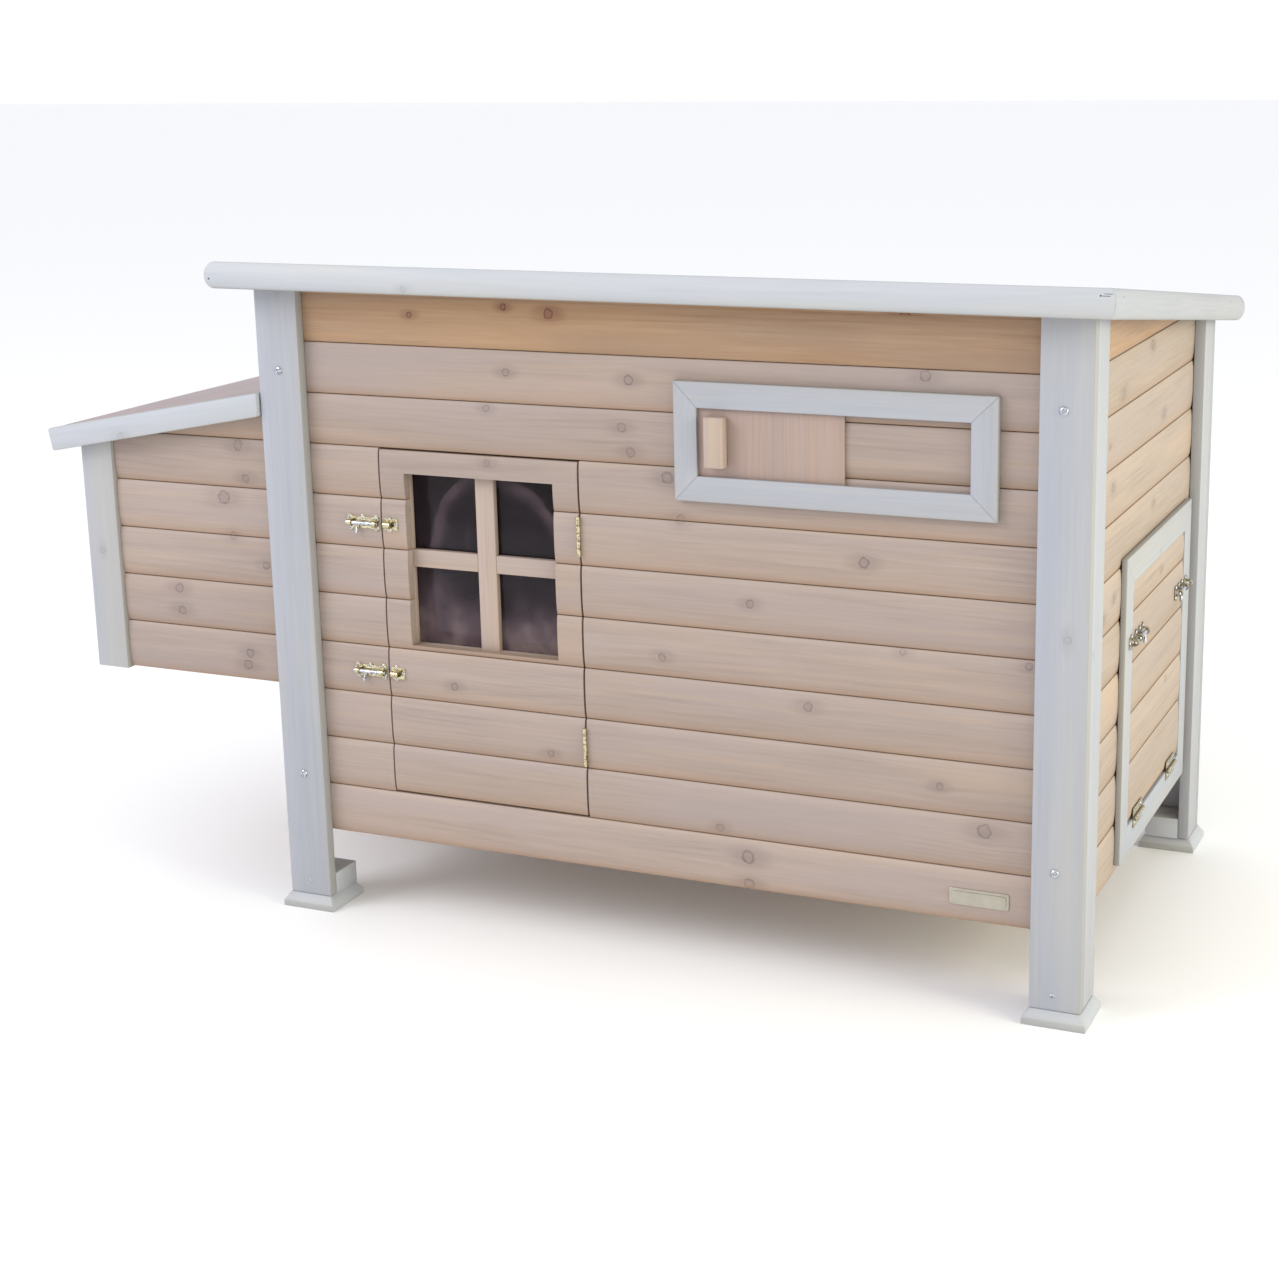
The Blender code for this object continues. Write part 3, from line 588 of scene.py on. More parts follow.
class Piece:
    """Collects solids, each with its own grain and finish, into one object."""

    def __init__(self, name):
        self.name = name
        self.random = random.Random(name)
        self.points, self.faces, self.slots, self.finishes = [], [], [], []
        self.layers = {layer: [] for layer in ("grain", "extent", "shift", *KNOT_NAMES)}

    def add(self, solid, finish, along=X, out=-Y, knots=(), wild=0.0):
        """Adds a mesh; each separate shell in it is a board of its own.

        finish is a name or a function of the shell's middle. knots are (place, radius)
        pairs, and wild is how many further knots a metre of board has.
        """
        axes = (along, out.cross(along), out)
        for shell in islands(solid):
            spans = [[axis.dot(vert.co) for vert in shell] for axis in axes]
            middle = [(min(span) + max(span)) / 2 for span in spans]
            half = [(max(span) - min(span)) / 2 for span in spans]
            centre = axes[0] * middle[0] + axes[1] * middle[1] + axes[2] * middle[2]
            chosen = finish(centre) if callable(finish) else finish
            if chosen not in self.finishes:
                self.finishes.append(chosen)
            index = self.finishes.index(chosen)
            marks = self.knots_of(knots, axes, middle, half, wild)
            tone, shift = self.random.random(), [self.random.random() for _ in range(3)]
            number = {vert: len(self.points) + i for i, vert in enumerate(shell)}
            for vert in shell:
                self.points.append(vert.co.copy())
                place = [axis.dot(vert.co) - mid for axis, mid in zip(axes, middle)]
                values = (place, (half[0], half[1], tone), shift, *marks)
                for layer, value in zip(self.layers.values(), values):
                    layer.append(value)
            for face in dict.fromkeys(face for vert in shell for face in vert.link_faces):
                self.faces.append([number[vert] for vert in face.verts])
                self.slots.append(index)
        solid.free()
        return self

    def fit(self, solid, basis, origin, finish):
        """Adds a solid drawn in (along, up, out) at its place."""
        return self.add(placed(solid, basis, origin), finish, basis[0], basis[2])

    def stamp(self, template, basis, origin, finish, turn=0.0):
        """Adds a copy of a template, turned in its plane."""
        return self.fit(moved(template.copy(), Matrix.Rotation(turn, 4, "Z")), basis, origin, finish)

    def knots_of(self, knots, axes, middle, half, wild):
        """The knots of one board, as (along, across, radius) from its middle."""
        marks = []
        for place, radius in knots:
            u, v = axes[0].dot(place) - middle[0], axes[1].dot(place) - middle[1]
            if abs(u) < half[0] + radius and abs(v) < half[1] + radius:
                marks.append((u, v, radius))
        count = wild * half[0] * 2
        count = int(count) + (self.random.random() < count % 1)
        for _ in range(count):
            u = self.random.uniform(-half[0], half[0])
            v = self.random.uniform(-half[1], half[1]) * 0.8
            marks.append((u, v, self.random.uniform(0.0022, 0.0048)))
        marks = marks[: len(KNOT_NAMES)]
        return marks + [(0.0, 10.0, 0.0)] * (len(KNOT_NAMES) - len(marks))

    def done(self, *nodes, like=None):
        """Makes the object, which stands for the named CAD nodes and rides with them."""
        mesh = bpy.data.meshes.new(self.name)
        mesh.from_pydata(self.points, [], self.faces)
        mesh.validate()
        for layer, values in self.layers.items():
            store = mesh.attributes.new(layer, "FLOAT_VECTOR", "POINT")
            store.data.foreach_set("vector", [number for value in values for number in value])
        mesh.polygons.foreach_set("material_index", self.slots)
        for finish in self.finishes:
            mesh.materials.append(FINISHES[finish])
        mesh.shade_smooth()
        mesh.set_sharp_from_angle(angle=math.radians(35.0))
        made = shown(self.name, mesh)
        leader = nodes[0] if nodes else like
        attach(made, BODIES[leader])
        if nodes:
            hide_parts(*nodes)


def plain(name, node, arris, finish, along, out=-Y, wild=0.0):
    """A piece that fills its node's box, with eased edges."""
    Piece(name).add(block(*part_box(node), arris), finish, along, out, wild=wild).done(node)


# ---------------------------------------------------------------- log-profile boards


def span_of(node, direction):
    """A node's extent along an axis, from low to high; the high end of out is its crown."""
    return sorted(direction.dot(corner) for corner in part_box(node))


def corners(node, out):
    """A node's rectangle as (along, height) corners, seen along its outward side."""
    first, last = span_of(node, Z.cross(out))
    low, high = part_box(node)
    return (first, low.z), (last, high.z)


def log_section(bottom, top):
    """Section of one board as (outward, height), crown at 0 and its back behind it."""
    front = [(-share * GROOVE, bottom + offset) for offset, share in LOWER_LIP]
    front += [(-share * GROOVE, top - offset) for offset, share in reversed(UPPER_LIP)]
    return [(-BOARD_THICK, bottom + GAP / 2), *front, (-BOARD_THICK, top - GAP / 2)]


def boards(node, out, spare=0.0, like=None):
    """Boards one above the other over a node's rectangle, with their crowns facing out.

    spare is how far they stand over its top. The seams are counted up from the foot of
    the node, or of the one that it is like.
    """
    (first, bottom), (last, top) = corners(node, out)
    top += spare
    seams = [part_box(like or node)[0].z + i * PITCH for i in range(14)]
    edges = [bottom, *[z for z in seams if bottom + 0.012 < z < top - 0.012], top]
    crown = out * span_of(node, out)[1]
    solid = None
    for low, high in zip(edges, edges[1:]):
        solid = prism(log_section(low, high), (out, Z, Z.cross(out)), crown, first, last, solid)
    return solid


def points_of(node):
    return [vert.co.copy() for vert in NODES[node].data.vertices]


# The undersides of the roof board and the lid board, and the top of the front trim's side
ROOF_NORMAL = Vector((0, math.sin(ROOF_PITCH), math.cos(ROOF_PITCH)))
ROOF_SLOPE = Vector((0, math.cos(ROOF_PITCH), -math.sin(ROOF_PITCH)))
LID_NORMAL = Vector((-math.sin(LID_PITCH), 0, math.cos(LID_PITCH)))
LID_SLOPE = Vector((math.cos(LID_PITCH), 0, math.sin(LID_PITCH)))
ROOF_UNDER = min(points_of("roof_panel"), key=lambda co: co.z) - ROOF_NORMAL * GAP
LID_UNDER = min(points_of("nest_lid_panel"), key=lambda co: co.z) - LID_NORMAL * GAP
ROOF_ORIGIN = (
    ROOF_SLOPE * min(map(ROOF_SLOPE.dot, points_of("roof_trim_front")))
    + ROOF_NORMAL * max(map(ROOF_NORMAL.dot, points_of("roof_trim_front")))
)
LID_ORIGIN = Vector((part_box("nest_lid_trim")[0].x, 0, LID_EAVES))


def under_roof(solid):
    return trimmed(solid, ROOF_UNDER, ROOF_NORMAL)


def under_lid(solid):
    return trimmed(solid, LID_UNDER, LID_NORMAL)


def hole(low, high, out, reach=0.03):
    """A cutting box round a rectangle on a wall; low and high lie on its crown plane."""
    depth = out * reach
    points = (low + depth, low - depth, high + depth, high - depth)
    return Vector(map(min, *points)), Vector(map(max, *points))


# ---------------------------------------------------------------- posts and feet


def from_corner(node, sign_x, sign_y):
    """A node's x and y places, each pair counted inwards from one of its corners."""
    low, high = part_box(node)
    return *(low.x, high.x)[::sign_x], *(low.y, high.y)[::sign_y]


def post(node, sign_x, sign_y, cut):
    """Two boards nailed into an L: one faces front or back, the other the side."""
    low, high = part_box(node)
    x0, x1, y0, y1 = from_corner(node, sign_x, sign_y)
    inner_y = y0 + sign_y * POST_THICK
    top = high.z + POST_SPARE
    face = block((x0, y0, low.z), (x1, inner_y, top))
    side = block((x0, inner_y + sign_y * GAP / 2, low.z), (x0 + sign_x * POST_THICK, y1, top))
    piece = Piece(node + "_boards")
    piece.add(cut(face), "white", Z, Y * -sign_y, wild=0.8)
    piece.add(cut(side), "white", Z, X * -sign_x, wild=0.8)
    piece.done(node)


# A foot's outer edge as (height, distance in from its side)
FOOT_EDGE = (
    (0.0, 0.0004), (0.0004, 0.0), (0.0064, 0.0), (0.0076, 0.0005), (0.0168, 0.0066), (0.0170, 0.0074),
)
FOOT_BLOCK_BOTTOM = 0.016


def foot(node, post_node, sign_x, sign_y):
    """A square plinth with a sloping top edge, and the short block glued on inside."""
    low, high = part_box(node)
    rings = []
    for height, inset in FOOT_EDGE:
        square = rectangle((low.x + inset, low.y + inset), (high.x - inset, high.y - inset))
        rings.append([(x, y, height) for x, y in square])
    piece = Piece(node + "_plinth")
    piece.add(eased(lofted(rings), FINE_ARRIS, 60.0), "trim", X, Z)
    x0, x1, y0, y1 = from_corner(post_node, sign_x, sign_y)
    inset = POST_THICK + GAP
    inner = (x0 + sign_x * inset, y0 + sign_y * inset, FOOT_BLOCK_BOTTOM)
    outer = (x1 - sign_x * GAP, y1 - sign_y * GAP, high.z)
    piece.add(block(inner, outer, FINE_ARRIS), "trim", X, Y * -sign_y)
    piece.done(node)


def corner_posts():
    ends = (("front", 1), ("back", -1))
    for side, sign_x in (("left", 1), ("right", -1)):
        for end, sign_y in ends:
            post(f"corner_post_{end}_{side}", sign_x, sign_y, under_roof)
            foot(f"foot_{end}_{side}", f"corner_post_{end}_{side}", sign_x, sign_y)
    for end, sign_y in ends:
        post(f"nest_post_{end}", 1, sign_y, under_lid)


# ---------------------------------------------------------------- knots


def front_knots(*places):
    return [(at(x, 0.0, z), radius) for x, z, radius in places]


# Chosen places of the visible knots: across, height and radius in metres
FRONT_KNOTS = front_knots(
    (0.199, 0.735, 0.0035), (0.320, 0.748, 0.0035), (0.376, 0.742, 0.0057), (0.789, 0.752, 0.0068),
    (0.320, 0.675, 0.0046), (0.472, 0.673, 0.0054), (0.811, 0.693, 0.0059), (0.462, 0.620, 0.0051),
    (0.293, 0.633, 0.0041), (0.472, 0.593, 0.0054), (0.516, 0.567, 0.0065), (0.530, 0.521, 0.0054),
    (0.744, 0.4895, 0.0057), (0.612, 0.433, 0.0046), (0.787, 0.395, 0.0038), (0.926, 0.3925, 0.0041),
    (0.505, 0.362, 0.0046), (0.679, 0.3226, 0.0054), (0.830, 0.250, 0.0043), (0.880, 0.205, 0.0074),
    (0.572, 0.1687, 0.0046), (0.890, 0.728, 0.0049), (0.606, 0.1386, 0.0076), (0.606, 0.106, 0.0061),
)
NEST_KNOTS = front_knots(
    (-0.050, 0.570, 0.0061), (-0.042, 0.530, 0.0051), (-0.075, 0.505, 0.0081), (-0.066, 0.458, 0.0051),
    (-0.020, 0.424, 0.0049), (-0.150, 0.386, 0.0057), (-0.148, 0.358, 0.0054), (-0.052, 0.312, 0.0054),
    (-0.056, 0.297, 0.0059),
)
DOOR_KNOTS = front_knots((0.291, 0.570, 0.0041), (0.236, 0.300, 0.0046), (0.360, 0.232, 0.0041))
SIDE_KNOTS = [(at(1.0, y, z), radius) for y, z, radius in (
    (0.190, 0.655, 0.0061), (0.330, 0.690, 0.0054), (0.150, 0.560, 0.0049), (0.400, 0.600, 0.0054),
    (0.120, 0.420, 0.0049), (0.110, 0.255, 0.0049),
)]


# ---------------------------------------------------------------- walls


def wall(node, out, holes, finish, battens, knots=(), wild=0.0):
    """A boarded wall under the roof, its battens, and the perch's cleat on front and back.

    battens are the places of their middles, counted from the corner of the coop.
    """
    along = Z.cross(out)
    back = out * (span_of(node, out)[1] - BOARD_THICK - GAP / 2)
    piece = Piece(node + "_boards")
    piece.add(under_roof(carved(boards(node, out, WALL_SPARE), holes)), finish, along, out, knots, wild)
    bottom, top = Z * (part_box("floor_panel")[1].z + GAP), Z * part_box(node)[1].z
    for place in battens:
        middle = back + along * along.dot(at(place, place, 0.0))
        half = along * BATTEN / 2
        solid = block(middle - half + bottom, middle + half - out * BATTEN + top, FINE_ARRIS)
        piece.add(under_roof(solid), "raw", Z, -out, wild=1.0)
    if out.y:
        low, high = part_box("perch")
        middle = Vector(((low.x + high.x) / 2, back.y, low.z - GAP))
        cleat = block(middle - X * 0.022 - Z * 0.030, middle + X * 0.022 - out * 0.020)
        piece.add(cleat, "raw", X, -out)
    piece.done(node)


def pine_top(node, below):
    """A wall's finish: natural pine for its top board, another for those below."""
    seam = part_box(node)[0].z + 10 * PITCH
    return lambda middle: "pine" if middle.z > seam else below


def walls():
    low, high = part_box("front_door_panel")
    doorway = hole(low + Vector((-0.002, 0, -0.0017)), high + Vector((0.0025, 0, 0.0017)), -Y)
    low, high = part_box("vent_slide")
    vent = hole(low + Vector((0.020, 0, 0.0135)), high - Vector((0.0395, 0, 0.0135)), -Y)
    finish = pine_top("front_wall", "plank")
    wall("front_wall", -Y, [doorway, vent], finish, (0.070, 0.131, 0.4235, 0.922), FRONT_KNOTS)
    wall("back_wall", Y, [], "plank", (0.070, 0.496, 0.922), wild=1.6)

    doorways = [
        (at(-0.05, near, 0.305), at(0.06, far, 0.500)) for near, far in ((0.085, 0.285), (0.339, 0.539))
    ]
    wall("left_wall", -X, doorways, "plank", (0.072, 0.552), wild=1.6)
    low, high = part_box("pop_door_panel")
    margin = Vector((0, 0.0015, 0.0015))
    doorway = hole(low - margin, high + margin, X)
    # The right wall's boards below the top one take the planks painted lighter as sunlit
    wall("right_wall", X, [doorway], pine_top("right_wall", "painted_sunlit_planks"), (0.072, 0.552), SIDE_KNOTS, 0.8)


def nest_box():
    for node, out in (("nest_front", -Y), ("nest_back", Y), ("nest_end", -X)):
        knots, wild = (NEST_KNOTS, 0.0) if node == "nest_front" else ((), 1.6)
        solid = under_lid(boards(node, out, WALL_SPARE))
        Piece(node + "_boards").add(solid, "plank", Z.cross(out), out, knots, wild).done(node)


# ---------------------------------------------------------------- roof


def trim_section(steps=16):
    """Section of a roof trim as (depth from its outer side, height below its top)."""
    middle, rise = TRIM_HEIGHT / 2, TRIM_HEIGHT / 2 - 0.00015
    turns = [math.pi * (0.5 + i / steps) for i in range(steps + 1)]
    bulge = TRIM_BULGE - 0.0004
    curve = [(TRIM_BULGE + bulge * math.cos(turn), rise * math.sin(turn) - middle) for turn in turns]
    ease, low, high = 0.0006, -middle - rise, rise - middle
    return [
        *curve, (TRIM_DEPTH - ease, low), (TRIM_DEPTH, low + ease),
        (TRIM_DEPTH, high - ease), (TRIM_DEPTH - ease, high),
    ]


def roof_trims():
    """Four mitred trims, each from one corner of the roof to the next."""
    left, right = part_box("roof_trim_left")[0].x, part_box("roof_trim_right")[1].x
    wide = right - left
    length = max(ROOF_SLOPE.dot(point - ROOF_ORIGIN) for point in points_of("roof_trim_back"))
    front = ROOF_ORIGIN + X * left
    back = front + ROOF_SLOPE * length
    for side, along, inwards, corner, reach in (
        ("front", X, ROOF_SLOPE, front, wide), ("back", -X, -ROOF_SLOPE, back + X * wide, wide),
        ("right", ROOF_SLOPE, -X, front + X * wide, length), ("left", -ROOF_SLOPE, X, back, length),
    ):
        solid = prism(
            trim_section(), (inwards, ROOF_NORMAL, along), corner,
            lambda depth: depth + GAP / 2, lambda depth: reach - depth - GAP / 2,
        )
        node = f"roof_trim_{side}"
        piece = Piece(node + "_moulding")
        piece.add(solid, "trim" if along.x else "white", along, -inwards, wild=1.0).done(node)


def wavy_sheet(node, basis, origin, spans, thick, waves, cells):
    """A thin sheet of felt that lies in slight waves; waves gives its lift at a place."""
    solid = bmesh.new()
    (u0, u1), (v0, v1) = spans
    rims = []
    for level in (0.0, thick):
        rows = []
        for i in range(cells[0] + 1):
            u = u0 + (u1 - u0) * i / cells[0]
            row = []
            for j in range(cells[1] + 1):
                v = v0 + (v1 - v0) * j / cells[1]
                lift = waves(u, v) + level
                row.append(solid.verts.new(origin + basis[0] * u + basis[1] * v + basis[2] * lift))
            rows.append(row)
        for a, b in zip(rows, rows[1:]):
            for j in range(cells[1]):
                solid.faces.new((a[j], a[j + 1], b[j + 1], b[j]))
        near, far = [row[0] for row in rows], [row[-1] for row in rows[-2::-1]]
        rims.append(near + rows[-1][1:] + far + rows[0][-2:0:-1])
    bridge(solid, rims, closed=False)
    Piece(node + "_sheet").add(solid, "felt", basis[0], basis[2]).done(node)


def ripple(name, size, lift, count=7):
    """A smooth random surface from a few long waves."""
    rng = random.Random(name)
    waves = [
        (rng.uniform(-1, 1) / size, rng.uniform(-1, 1) / size, rng.uniform(0, 6.28), rng.uniform(0.4, 1))
        for _ in range(count)
    ]
    total = sum(wave[3] for wave in waves)

    def surface(u, v):
        return lift * sum(w * math.sin(6.28 * (u * a + v * b) + turn) for a, b, turn, w in waves) / total

    return surface


def main_felt():
    """The roof's felt in two widths; the front one laps over the back one."""
    low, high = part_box("roof_felt")
    start, end = ((y - ROOF_ORIGIN.y) / math.cos(ROOF_PITCH) for y in (low.y, high.y))
    surface = ripple("main felt", 0.45, 0.0008)
    lap = start + (end - start) * 0.52

    def waves(u, v):
        edge = min(1.0, *(reach / 0.04 for reach in (u - low.x, high.x - u, v - start, end - v)))
        step = 0.0016 * max(0.0, min(1.0, (lap - v) / 0.002))
        return -0.0075 + max(edge, 0.0) * (0.0003 + surface(u, v) + step)

    spans = ((low.x + 0.0003, high.x - 0.0003), (start + 0.0006, end - 0.0006))
    wavy_sheet("roof_felt", (X, ROOF_SLOPE, ROOF_NORMAL), ROOF_ORIGIN, spans, 0.0025, waves, (70, 90))


# ---------------------------------------------------------------- front door, vent and pop door


def mitred_frame(name, node, out, inner, section):
    """Four mitred boards between a node's rectangle and an opening inside it.

    section(width) is a member's outline as (distance from its outer edge, distance behind
    the face) points.
    """
    along = Z.cross(out)
    (x0, z0), (x1, z1) = corners(node, out)
    widths = (inner[0][1] - z0, x1 - inner[1][0], z1 - inner[1][1], inner[0][0] - x0)
    wide, tall = x1 - x0, z1 - z0
    members = (
        (along, Z, x0, z0, wide), (Z, -along, x1, z0, tall),
        (-along, -Z, x1, z1, wide), (-Z, along, x0, z1, tall),
    )
    piece = Piece(name)
    for number, (run, inwards, x, z, length) in enumerate(members):
        width, before, after = widths[number], widths[number - 1], widths[(number + 1) % 4]
        member = prism(
            section(width), (inwards, -out, run), along * x + Z * z + out * span_of(node, out)[1],
            lambda p: before / width * p + GAP / 3, lambda p: length - after / width * p - GAP / 3,
        )
        piece.add(eased(member, 0.0004), "white", run, out, wild=0.5)
    piece.done(node)


def front_door():
    """The door's boards round a window, with a sash and its cross of bars behind them."""
    out = -Y
    face = span_of("front_door_panel", out)[1]
    (x0, z0), (x1, z1) = corners("window_sash", out)
    left, right, low, high = x0 + SASH_EDGE, x1 - SASH_EDGE, z0 + SASH_EDGE, z1 - SASH_EDGE

    def place(x, z, level):
        return X * x + Z * z + out * level

    window = hole(place(left, low, face), place(right, high, face), out)
    leaf = carved(boards("front_door_panel", out, like="front_wall"), [window])
    Piece("front_door_boards").add(leaf, "plank", X, out, DOOR_KNOTS).done("front_door_panel")

    sash = Piece("window_sash_frame")
    back = face - BOARD_THICK - GAP
    bar0, bar1 = (CORNER.x + x for x in SASH_BAR)
    for grain, near, far, bottom, top in (
        (Z, x0, left, z0, z1), (Z, right, x1, z0, z1), (Z, bar0, bar1, low - SASH_LAP, high + SASH_LAP),
        (X, left + GAP, right - GAP, z0, low), (X, left + GAP, right - GAP, high, z1),
        (X, left - SASH_LAP, bar0 - GAP / 2, *SASH_LEVEL), (X, bar1 + GAP / 2, right + SASH_LAP, *SASH_LEVEL),
    ):
        solid = block(place(near, bottom, back), place(far, top, back - SASH_THICK), FINE_ARRIS)
        sash.add(solid, "raw", grain, out)
    sash.done("window_sash")
    plain("window_pane_sheet", "window_pane", 0.0003, "glazing", X)


def vent():
    low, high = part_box("vent_frame")
    deep = high.y - low.y
    lip, overlap = 0.0047, 0.0055

    def section(width):
        rebate = width - overlap
        return [(0, 0), (width, 0), (width, lip), (rebate, lip), (rebate, deep), (0, deep)]

    inner = tuple((CORNER.x + x, z) for x, z in ((0.5555, 0.573), (0.863, 0.648)))
    mitred_frame("vent_frame_boards", "vent_frame", -Y, inner, section)
    plain("vent_slide_board", "vent_slide", 0.0005, "ply", Z)
    plain("vent_knob_block", "vent_knob", 0.0022, "raw", Z)


def pop_door():
    low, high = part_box("pop_door_frame")
    inner = tuple((CORNER.y + y, z) for y, z in ((0.236, 0.147), (0.514, 0.436)))
    mitred_frame(
        "pop_frame_boards", "pop_door_frame", X, inner,
        lambda width: rectangle((0, 0), (width, high.x - low.x)),
    )
    leaf = boards("pop_door_panel", X, like="right_wall")
    # The pop door takes the planks painted lighter as sunlit
    Piece("pop_door_boards").add(leaf, "painted_sunlit_planks", Y, X, wild=1.5).done("pop_door_panel")


# ---------------------------------------------------------------- ironmongery


def lathe(profile, sides=20):
    """A solid of revolution about the first direction, from (distance, radius) points."""
    turns = [2 * math.pi * i / sides for i in range(sides)]
    return lofted(
        [[(along, radius * math.cos(t), radius * math.sin(t)) for t in turns] for along, radius in profile]
    )


def rounded(length, height, radius, steps=4):
    """A rectangle with rounded corners, about its middle."""
    points = []
    for cx, cy, start in ((1, 1, 0), (-1, 1, 90), (-1, -1, 180), (1, -1, 270)):
        for i in range(steps + 1):
            turn = math.radians(start + 90 * i / steps)
            points.append((
                cx * (length / 2 - radius) + radius * math.cos(turn),
                cy * (height / 2 - radius) + radius * math.sin(turn),
            ))
    return points


def sheet_metal(length, height, thick=0.001, radius=0.0016):
    """A rounded plate that stands on the surface, with a softened outer edge."""
    rings = []
    for level, inset in ((0.0, 0.0), (thick * 0.65, 0.0), (thick, 0.00035)):
        outline = rounded(length - 2 * inset, height - 2 * inset, radius)
        rings.append([(x, y, level) for x, y in outline])
    return lofted(rings)


def dome(radius, height, cross=True):
    """A screw head standing on the surface, with a cross recess in its top."""
    profile = [(0.0, radius)]
    for i in range(1, 7):
        turn = math.radians(90 * i / 6.6)
        profile.append((height * math.sin(turn), radius * math.cos(turn) ** 0.72))
    head = placed(lathe(profile, 24), (Z, X, Y), Vector())
    if cross:
        arm, wide = radius * 0.55, radius * 0.13
        head = carved(head, [
            ((-arm, -wide, height * 0.35), (arm, wide, height * 2)),
            ((-wide, -arm, height * 0.35), (wide, arm, height * 2)),
        ])
    return head


SCREW = dome(0.0021, 0.0011)


def loop(width):
    """A strap bent over the rod, standing on the plate."""
    inner, outer, foot_level, steps = 0.0029, 0.0039, 0.0008, 10
    arc = [math.pi * i / steps for i in range(steps + 1)]
    outline = [(outer, foot_level)]
    outline += [(outer * math.cos(t), ROD_OUT + outer * math.sin(t)) for t in arc]
    outline += [(-outer, foot_level), (-inner, foot_level)]
    outline += [(-inner * math.cos(t), ROD_OUT + inner * math.sin(t)) for t in arc]
    outline += [(inner, foot_level)]
    solid = bmesh.new()
    ends = [[solid.verts.new((along, up, out)) for up, out in outline] for along in (0.0, width)]
    bridge(solid, ends, closed=False)
    last = len(outline) - 1
    for ring in ends:
        for i in range(last // 2):
            solid.faces.new((ring[i], ring[i + 1], ring[last - 1 - i], ring[last - i]))
    bmesh.ops.recalc_face_normals(solid, faces=solid.faces)
    return solid


def bolt_plate(node, coat, basis, origin, length, loops, screws):
    """A plate with an ear under each screw that is off its middle line, and straps on it."""
    piece = Piece(node + "_plate")

    def place(along, up=0.0, level=0.0):
        return origin + basis[0] * along + basis[1] * up + basis[2] * level

    piece.fit(sheet_metal(length, BOLT_HEIGHT * 0.72), basis, place(length / 2), coat)
    for along, up in screws:
        if up:
            ear = sheet_metal(0.0066, 0.0066, 0.00095, 0.0030)
            piece.fit(ear, basis, place(along, math.copysign(BOLT_HEIGHT / 2 - 0.0033, up)), coat)
    for start, end in loops:
        piece.fit(loop(end - start), basis, place(start), coat)
    for along, up in screws:
        piece.stamp(SCREW, basis, place(along, up, 0.0008), "zinc", piece.random.uniform(0, 1.5))
    piece.done(node)


def barrel_bolt(name, coat, basis, origin, keeper_at):
    """A bolt's body, its keeper, and the rod with a turned knob on its side."""
    signs = ((0.0045, -1), (0.0045, 1), (0.0215, 1), (0.0395, -1), (0.0395, 1))
    screws = [(along, sign * SCREW_UP) for along, sign in signs]
    bolt_plate(name + "_body", coat, basis, origin, BOLT_LENGTH, ((0.004, 0.009), (0.0375, 0.042)), screws)
    screws = ((0.0158, 0.0), (0.0075, -SCREW_UP), (0.0075, SCREW_UP))
    keeper = origin + basis[0] * keeper_at
    bolt_plate(name + "_keeper", coat, basis, keeper, KEEPER_LENGTH, ((0.003, 0.012),), screws)
    rod = Piece(name + "_rod_and_knob")
    radius, ease, length = ROD_RADIUS, 0.0005, 0.043
    shaft = lathe([(0.0, radius - ease), (ease, radius), (length - ease, radius), (length, radius - ease)])
    axis = origin + basis[2] * ROD_OUT
    rod.fit(shaft, basis, axis + basis[0] * 0.0008, "zinc")
    knob = lathe([
        (0.0, 0.0013), (0.0045, 0.0013), (0.0055, 0.0015), (0.0064, 0.0019), (0.0100, 0.0020),
        (0.0118, 0.0019), (0.0126, 0.0015), (0.0130, 0.0008),
    ])
    rod.fit(knob, (-basis[1], basis[0], basis[2]), axis + basis[0] * 0.0145, "zinc")
    rod.done(name + "_rod")


def bolts():
    for level in ("lower", "upper"):
        low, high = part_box(f"front_bolt_{level}_body")
        origin = Vector((low.x, high.y, (low.z + high.z) / 2))
        barrel_bolt(f"front_bolt_{level}", "brass", (X, Z, -Y), origin, 0.0495)
    for end, along in (("front", -Y), ("back", Y)):
        low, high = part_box(f"pop_bolt_{end}_body")
        near = high.y if end == "front" else low.y
        origin = Vector((low.x, near, (low.z + high.z) / 2))
        barrel_bolt(f"pop_bolt_{end}", "aged", (along, Z, X), origin, 0.0535)


def knuckles(piece, coat, along, start, length, count, first, radius):
    """Every second turn of a hinge's barrel, from the first: those of one leaf."""
    side = Z if abs(along.z) < 0.5 else X
    each, ease = length / count, 0.00025
    for number in range(first, count, 2):
        turn = lathe([
            (ease / 2, radius - ease), (ease * 1.5, radius),
            (each - ease * 1.5, radius), (each - ease / 2, radius - ease),
        ])
        piece.fit(turn, (along, side, along.cross(side)), start + along * each * number, coat)


def front_hinges():
    for level in ("lower", "upper"):
        low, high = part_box(f"front_hinge_{level}_fixed_leaf")
        pin = Vector(((low.x + high.x) / 2, low.y + 0.0024, low.z))
        for first, (part, near) in enumerate((("fixed", 0.00025), ("moving", -0.00095))):
            node = f"front_hinge_{level}_{part}_leaf"
            piece = Piece(node + "_plate")
            knuckles(piece, "brass", Z, pin, high.z - low.z, HINGE_TURNS, first, HINGE_RADIUS)
            leaf = block((pin.x + near, pin.y + 0.0018, low.z), (pin.x + near + 0.0007, high.y, high.z), 0.0)
            piece.add(leaf, "brass", Z, X).done(node)


